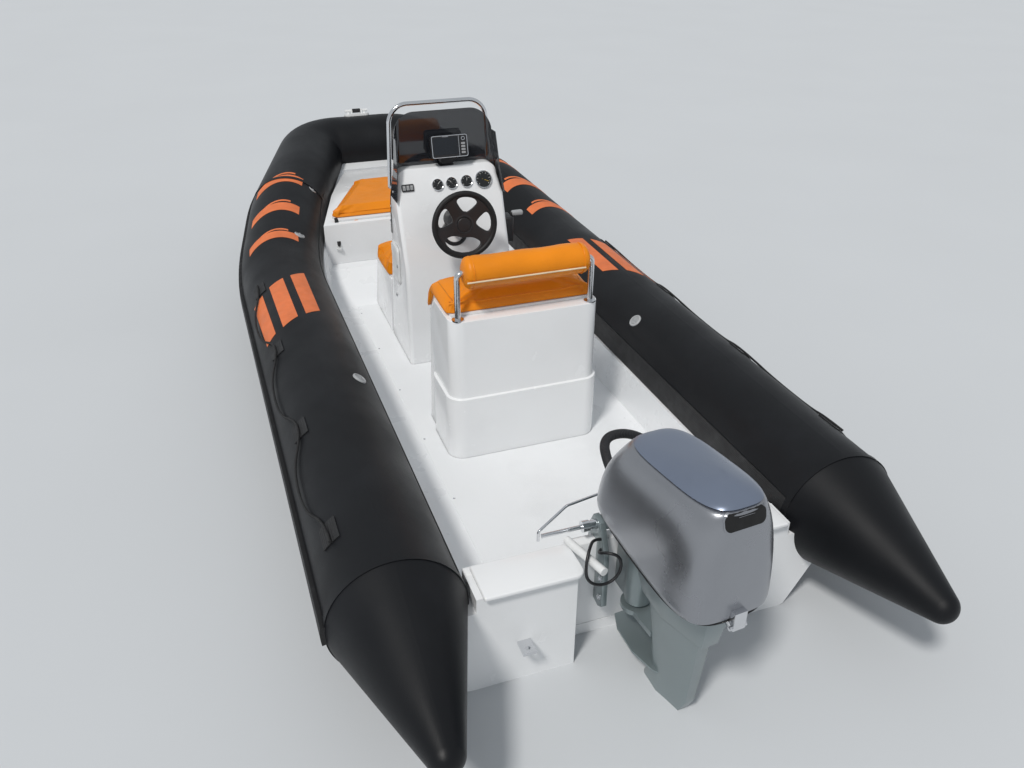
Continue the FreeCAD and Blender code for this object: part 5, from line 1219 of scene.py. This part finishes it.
def console_details():
    softened("console", 0.009)
    place = facing((2.245, 0.3025, 0.671), (0, 1, 0))
    door = [rounded_rect(0.128, 0.188, 0.020)]
    frame_ring = [rounded_rect(0.144, 0.204, 0.026), rounded_rect(0.132, 0.192, 0.021)[::-1]]
    add("hatch_frame", plate("hatch_frame", frame_ring, 0.0048, 0.0015, place), MATERIALS["white_nylon"],
        "boat")
    parts = [numbered(plate("door", door, 0.0085, 0.0022, place), 0)]
    inner = [rounded_rect(0.104, 0.164, 0.014), rounded_rect(0.098, 0.158, 0.011)[::-1]]
    step = place @ Matrix.Translation((0, 0, 0.0082))
    parts.append(numbered(plate("step", inner, 0.0012, 0.0004, step), 0))
    lock = facing((2.193, 0.3105, 0.671), (0, 1, 0))
    parts.append(numbered(lathe("lock", ((0.010, 0), (0.010, 0.0022), (0.008, 0.0034), (0.0004, 0.0036)),
                                lock, 28), 1))
    parts.append(numbered(block("slot", (-0.0014, -0.005, 0.003), (0.0014, 0.005, 0.0046), 0.0004, lock), 1))
    for z in (0.605, 0.737):
        hinge = Matrix.Translation((2.3135, 0.3070, z - 0.02))
        parts.append(numbered(lathe("hinge", ((0.0045, 0), (0.0048, 0.001), (0.0048, 0.039), (0.0045, 0.04)),
                                    hinge, 16), 0))
    add("hatch_door", joined("hatch_door", parts), [MATERIALS["white_nylon"], HANDLE_GREY], "side_hatch",
        ("console_hatch",))
    key = facing((2.285, 0.3024, 0.472), (0, 1, 0))
    profile = ((0.011, 0), (0.011, 0.002), (0.008, 0.003), (0.0004, 0.003))
    socket = [numbered(lathe("socket", profile, key, 24), 0),
              # the hole is painted shade: a black disc where the socket's depth is in shade
              numbered(lathe("hole", ((0.005, 0.002), (0.005, 0.0036), (0.0004, 0.0037)), key, 20), 1)]
    add("socket", joined("socket", socket), [MATERIALS["stainless"], SHADOW_BLACK], "boat")


def control_details():
    softened("control_box", 0.010)
    parts = []
    base = facing((2.176, -0.3045, 0.820), (0, -1, 0))
    parts.append(numbered(lathe("boss", ((0.022, -0.0002), (0.022, 0.008), (0.019, 0.013), (0.0004, 0.0145)),
                                base, 36), 0))
    parts.append(numbered(block("arm", (2.166, -0.3185, 0.818), (2.186, -0.3048, 0.900), 0.005), 0))
    parts.append(numbered(block("grip", (2.160, -0.3700, 0.882), (2.192, -0.3080, 0.907), 0.010, None, 4), 1))
    parts.append(numbered(block("release", (2.170, -0.352, 0.877), (2.182, -0.322, 0.884), 0.002), 0))
    add("throttle_lever", joined("throttle_lever", parts), [MATERIALS["black_plastic"], HANDLE_GREY],
        "throttle", ("control_lever",))


SCREW = ((0.007, 0), (0.007, 0.0015), (0.0045, 0.0028), (0.0004, 0.003))


def screen_details():
    """Screws that hold the screen."""
    parts = []
    for y in (-0.18, -0.06, 0.10, 0.22):
        place = facing((2.3385, y, 0.842), (0.983, 0, 0.183))
        parts.append(lathe("screw", SCREW, place, 20))
    for side in (1, -1):
        for x, z in ((2.235, 1.052), (2.285, 0.965), (2.312, 0.880)):
            half = 0.2843 - (0.018 * max(0.0, z - 1.015) / 0.145)
            place = facing((x, CONSOLE_Y + side * half, z), (0, side, 0))
            parts.append(lathe("screw", SCREW, place, 20))
    add("screen_screws", joined("screen_screws", parts), MATERIALS["stainless"], "boat")


# Engine

# Cowl rings: front, aft, height at the front and at the aft end, half-width, squareness
COWL_RINGS = (
    (0.118, -0.473, 0.6400, 0.5650, 0.162, 4.4),
    (0.1265, -0.4815, 0.6450, 0.5700, 0.1705, 4.6),
    (0.125, -0.4815, 0.675, 0.612, 0.1695, 4.8),
    (0.115, -0.478, 0.740, 0.722, 0.163, 4.8),
    (0.098, -0.472, 0.795, 0.795, 0.1565, 4.6),
    (0.074, -0.4655, 0.838, 0.850, 0.1490, 4.4),
    (0.0525, -0.4595, 0.877, 0.905, 0.1335, 4.0),
    (0.0340, -0.4530, 0.9075, 0.942, 0.1165, 3.6),
    (0.0285, -0.4500, 0.9140, 0.950, 0.1105, 3.5),
)
COWL_TOP_RINGS = (
    (0.0305, -0.4520, 0.9100, 0.9460, 0.1125, 3.5),
    (0.0285, -0.4500, 0.9165, 0.9525, 0.1105, 3.5),
    (0.0190, -0.4420, 0.9215, 0.9605, 0.1030, 3.4),
    (0.0020, -0.4260, 0.9270, 0.9690, 0.0880, 3.2),
    (-0.0340, -0.3900, 0.9340, 0.9780, 0.0600, 2.9),
    (-0.1050, -0.3200, 0.9420, 0.9800, 0.0270, 2.6),
)
# Tray rings: front, aft, half-width, drop below the seam, squareness
TRAY_RINGS = (
    (0.119, -0.472, 0.162, -0.001, 3.6),
    (0.117, -0.470, 0.160, 0.008, 3.6),
    (0.105, -0.447, 0.139, 0.022, 3.4),
    (0.082, -0.419, 0.113, 0.0415, 3.2),
)
INTAKE_Z = 0.914


def seam_height(x):
    """Height of the line between the cowl and its tray."""
    return 0.6235 + 0.126 * x


def cowl_ring(front, aft, z_front, z_aft, half, power):
    """Ring round the engine: its ends, their heights, its half-width and squareness."""
    middle, reach = (front + aft) / 2, (front - aft) / 2
    points = []
    count = 64
    for i in range(count):
        a = 2 * math.pi * i / count
        c, s = math.cos(a), math.sin(a)
        x = middle + reach * math.copysign(abs(c) ** (2 / power), c)
        y = half * math.copysign(abs(s) ** (2 / power), s)
        z = z_aft + (z_front - z_aft) * (x - aft) / (front - aft)
        points.append(ENGINE_TURN @ Vector((x, y, z)))
    return points


def engine():
    """Cowl, its tray, the seal between them and the air intake."""
    shell = loft("shell", [cowl_ring(*row) for row in COWL_RINGS])
    top = loft("top", [cowl_ring(*row) for row in COWL_TOP_RINGS])
    smooth = ("SUBSURF", {"levels": 1, "render_levels": 1})
    shell = shape_with(shell, smooth)
    top = shape_with(top, smooth)
    add("cowl_shell", joined("cowl_shell", [numbered(shell, 0), numbered(top, 1)]),
        [MATERIALS["engine_silver"], COWL_TOP], "engine", ("cowl",), 50.0)
    rings = [cowl_ring(front, aft, seam_height(front) - drop, seam_height(aft) - drop, half, power)
             for front, aft, half, drop, power in TRAY_RINGS]
    add("cowl_tray", loft("cowl_tray", rings), MATERIALS["engine_case"], "engine",
        ("lower_cowl",), 40.0)
    seam = cowl_ring(0.121, -0.476, seam_height(0.121) + 0.001, seam_height(-0.476) + 0.001, 0.1645, 3.6)
    add("cowl_seal", tube_mesh("cowl_seal", seam, 0.0030, True), SEALANT, "engine")
    cowl = BVHTree.FromPolygons([v.co.copy() for v in shell.vertices],
                                [list(p.vertices) for p in shell.polygons])
    for name, width, height, radius, lift, material in (
            ("intake_rim", 0.146, 0.060, 0.022, 0.0022, MATERIALS["engine_silver"]),
            # the throat is painted shade: a black sheet on the cowl for the slot's shaded depth
            ("intake_throat_shade", 0.136, 0.050, 0.018, 0.0030, SHADOW_BLACK)):
        outline = rounded_rect(width, height, radius, 8)
        way = ENGINE_TURN.to_3x3() @ Vector((1, 0, 0))
        rings = []
        for share in (1.0, 0.5):
            line = []
            for y, up in outline:
                origin = ENGINE_TURN @ Vector((-0.9, y * share, INTAKE_Z + up * share))
                hit, normal, _, _ = cowl.ray_cast(origin, way)
                if hit is None:
                    hit, normal, _, _ = cowl.find_nearest(origin + way * 0.44)
                line.append(hit + normal * lift)
            rings.append(line)
        skirt = [p + way * 0.006 for p in rings[0]]
        add(name, loft(name, [skirt] + rings), material, "engine", (), 60.0)
    softened("cowl_latch", 0.003)


def engine_metal():
    """Bolts and washers that hold the bracket."""
    bolts = []
    r = 0.008
    for side in (1, -1):
        for z in (0.300, 0.215):
            place = facing((0.070, side * 0.118, z), (0, side, 0))
            bolts.append(lathe("washer", ((r * 1.5, 0), (r * 1.5, 0.002), (r * 1.3, 0.0025),
                                          (r * 0.5, 0.0025)), place, 24))
            bolts.append(lathe("bolt", ((r, 0.002), (r, 0.007), (r * 0.85, 0.0085), (0.0004, 0.0085)),
                               place, 6))
    add("bracket_bolts", joined("bracket_bolts", bolts), MATERIALS["stainless"], "boat")


# Small fittings

def fittings():
    """Screws along both sides of the floor panel."""
    screws = []
    aft, front, half = 0.320, 2.800, 0.435
    for side in (1, -1):
        for i in range(6):
            x = aft + 0.05 + (front - aft - 0.10) * i / 5
            screws.append((x, side * (half - 0.012), 0.1703))
    meshes = [lathe("screw", ((0.0055, 0), (0.0055, 0.0008), (0.003, 0.0016), (0.0004, 0.0017)),
                    Matrix.Translation(p), 18) for p in screws]
    add("floor_screws", joined("floor_screws", meshes), MATERIALS["stainless"], "boat")


def lid_strap():
    """Webbing and eye that hold the bow lid down at its port corner, and the lid's pull tab."""
    run = ((3.312, 0.440, 0.5742), (3.285, 0.441, 0.5745), (3.2665, 0.442, 0.572), (3.2600, 0.443, 0.550),
           (3.2460, 0.444, 0.500), (3.2290, 0.445, 0.450), (3.2170, 0.446, 0.418))
    points, faces = [], []
    for x, y, z in run:
        points += [(x, y - 0.011, z), (x, y + 0.011, z)]
    for i in range(len(run) - 1):
        faces.append((2 * i, 2 * i + 1, 2 * i + 3, 2 * i + 2))
    mesh = shape_with(made_mesh("strap", points, faces), ("SUBSURF", {"levels": 2}),
                      ("SOLIDIFY", {"thickness": 0.0022, "offset": 0.0}))
    add("lid_strap", mesh, MATERIALS["black_rope"], "bow_lid")
    eye = [block("foot", (3.2215, 0.431, 0.388), (3.2285, 0.461, 0.428), 0.003),
           tube_mesh("loop", [Vector((3.2225 - 0.0165 * math.sin(a), 0.446 + 0.0135 * math.cos(a), 0.408))
                              for a in (math.pi * k / 12 for k in range(13))], 0.0034)]
    add("strap_eye", joined("strap_eye", eye), MATERIALS["white_nylon"], "boat")
    tab = plate("tab", [rounded_rect(0.026, 0.042, 0.006)], 0.0024, 0.0008,
                facing((3.2690, 0.319, 0.541), (-1, 0, 0)))
    add("lid_tab", tab, MATERIALS["orange_vinyl"], "bow_lid")


# Build

make_camera()
make_light()
lifeline(1)
lifeline(-1)
hose()
bracket_loop()

bpy.ops.mesh.primitive_plane_add(size=80)
floor = bpy.context.object
floor.name = "floor"
pale = Finish("floor_pale", 0.9).colour((0.60, 0.62, 0.64), 0.8, 0.01)
floor.data.materials.append(pale.material)

tube_details()
bow_cushion()
front_cushion()
seat_cushion()
backrest()
gauges()
switch_panel()
plotter()
steering_wheel()
helm()
console_details()
control_details()
screen_details()
engine()
engine_metal()
fittings()
lid_strap()
for soft_node, soft_width in (("bow_locker", 0.010), ("front_seat_base", 0.012), ("seat_box", 0.010),
                              ("transom_board", 0.006), ("transom_ledges", 0.006),
                              ("bow_lid", 0.003), ("front_seat_lid", 0.003), ("seat_lid", 0.003),
                              ("clamp_bracket", 0.005), ("bow_fairlead", 0.003),
                              ("swivel_bracket", 0.004), ("leg", 0.004)):
    softened(soft_node, soft_width)

scene = bpy.context.scene
scene.view_settings.view_transform = "Standard"
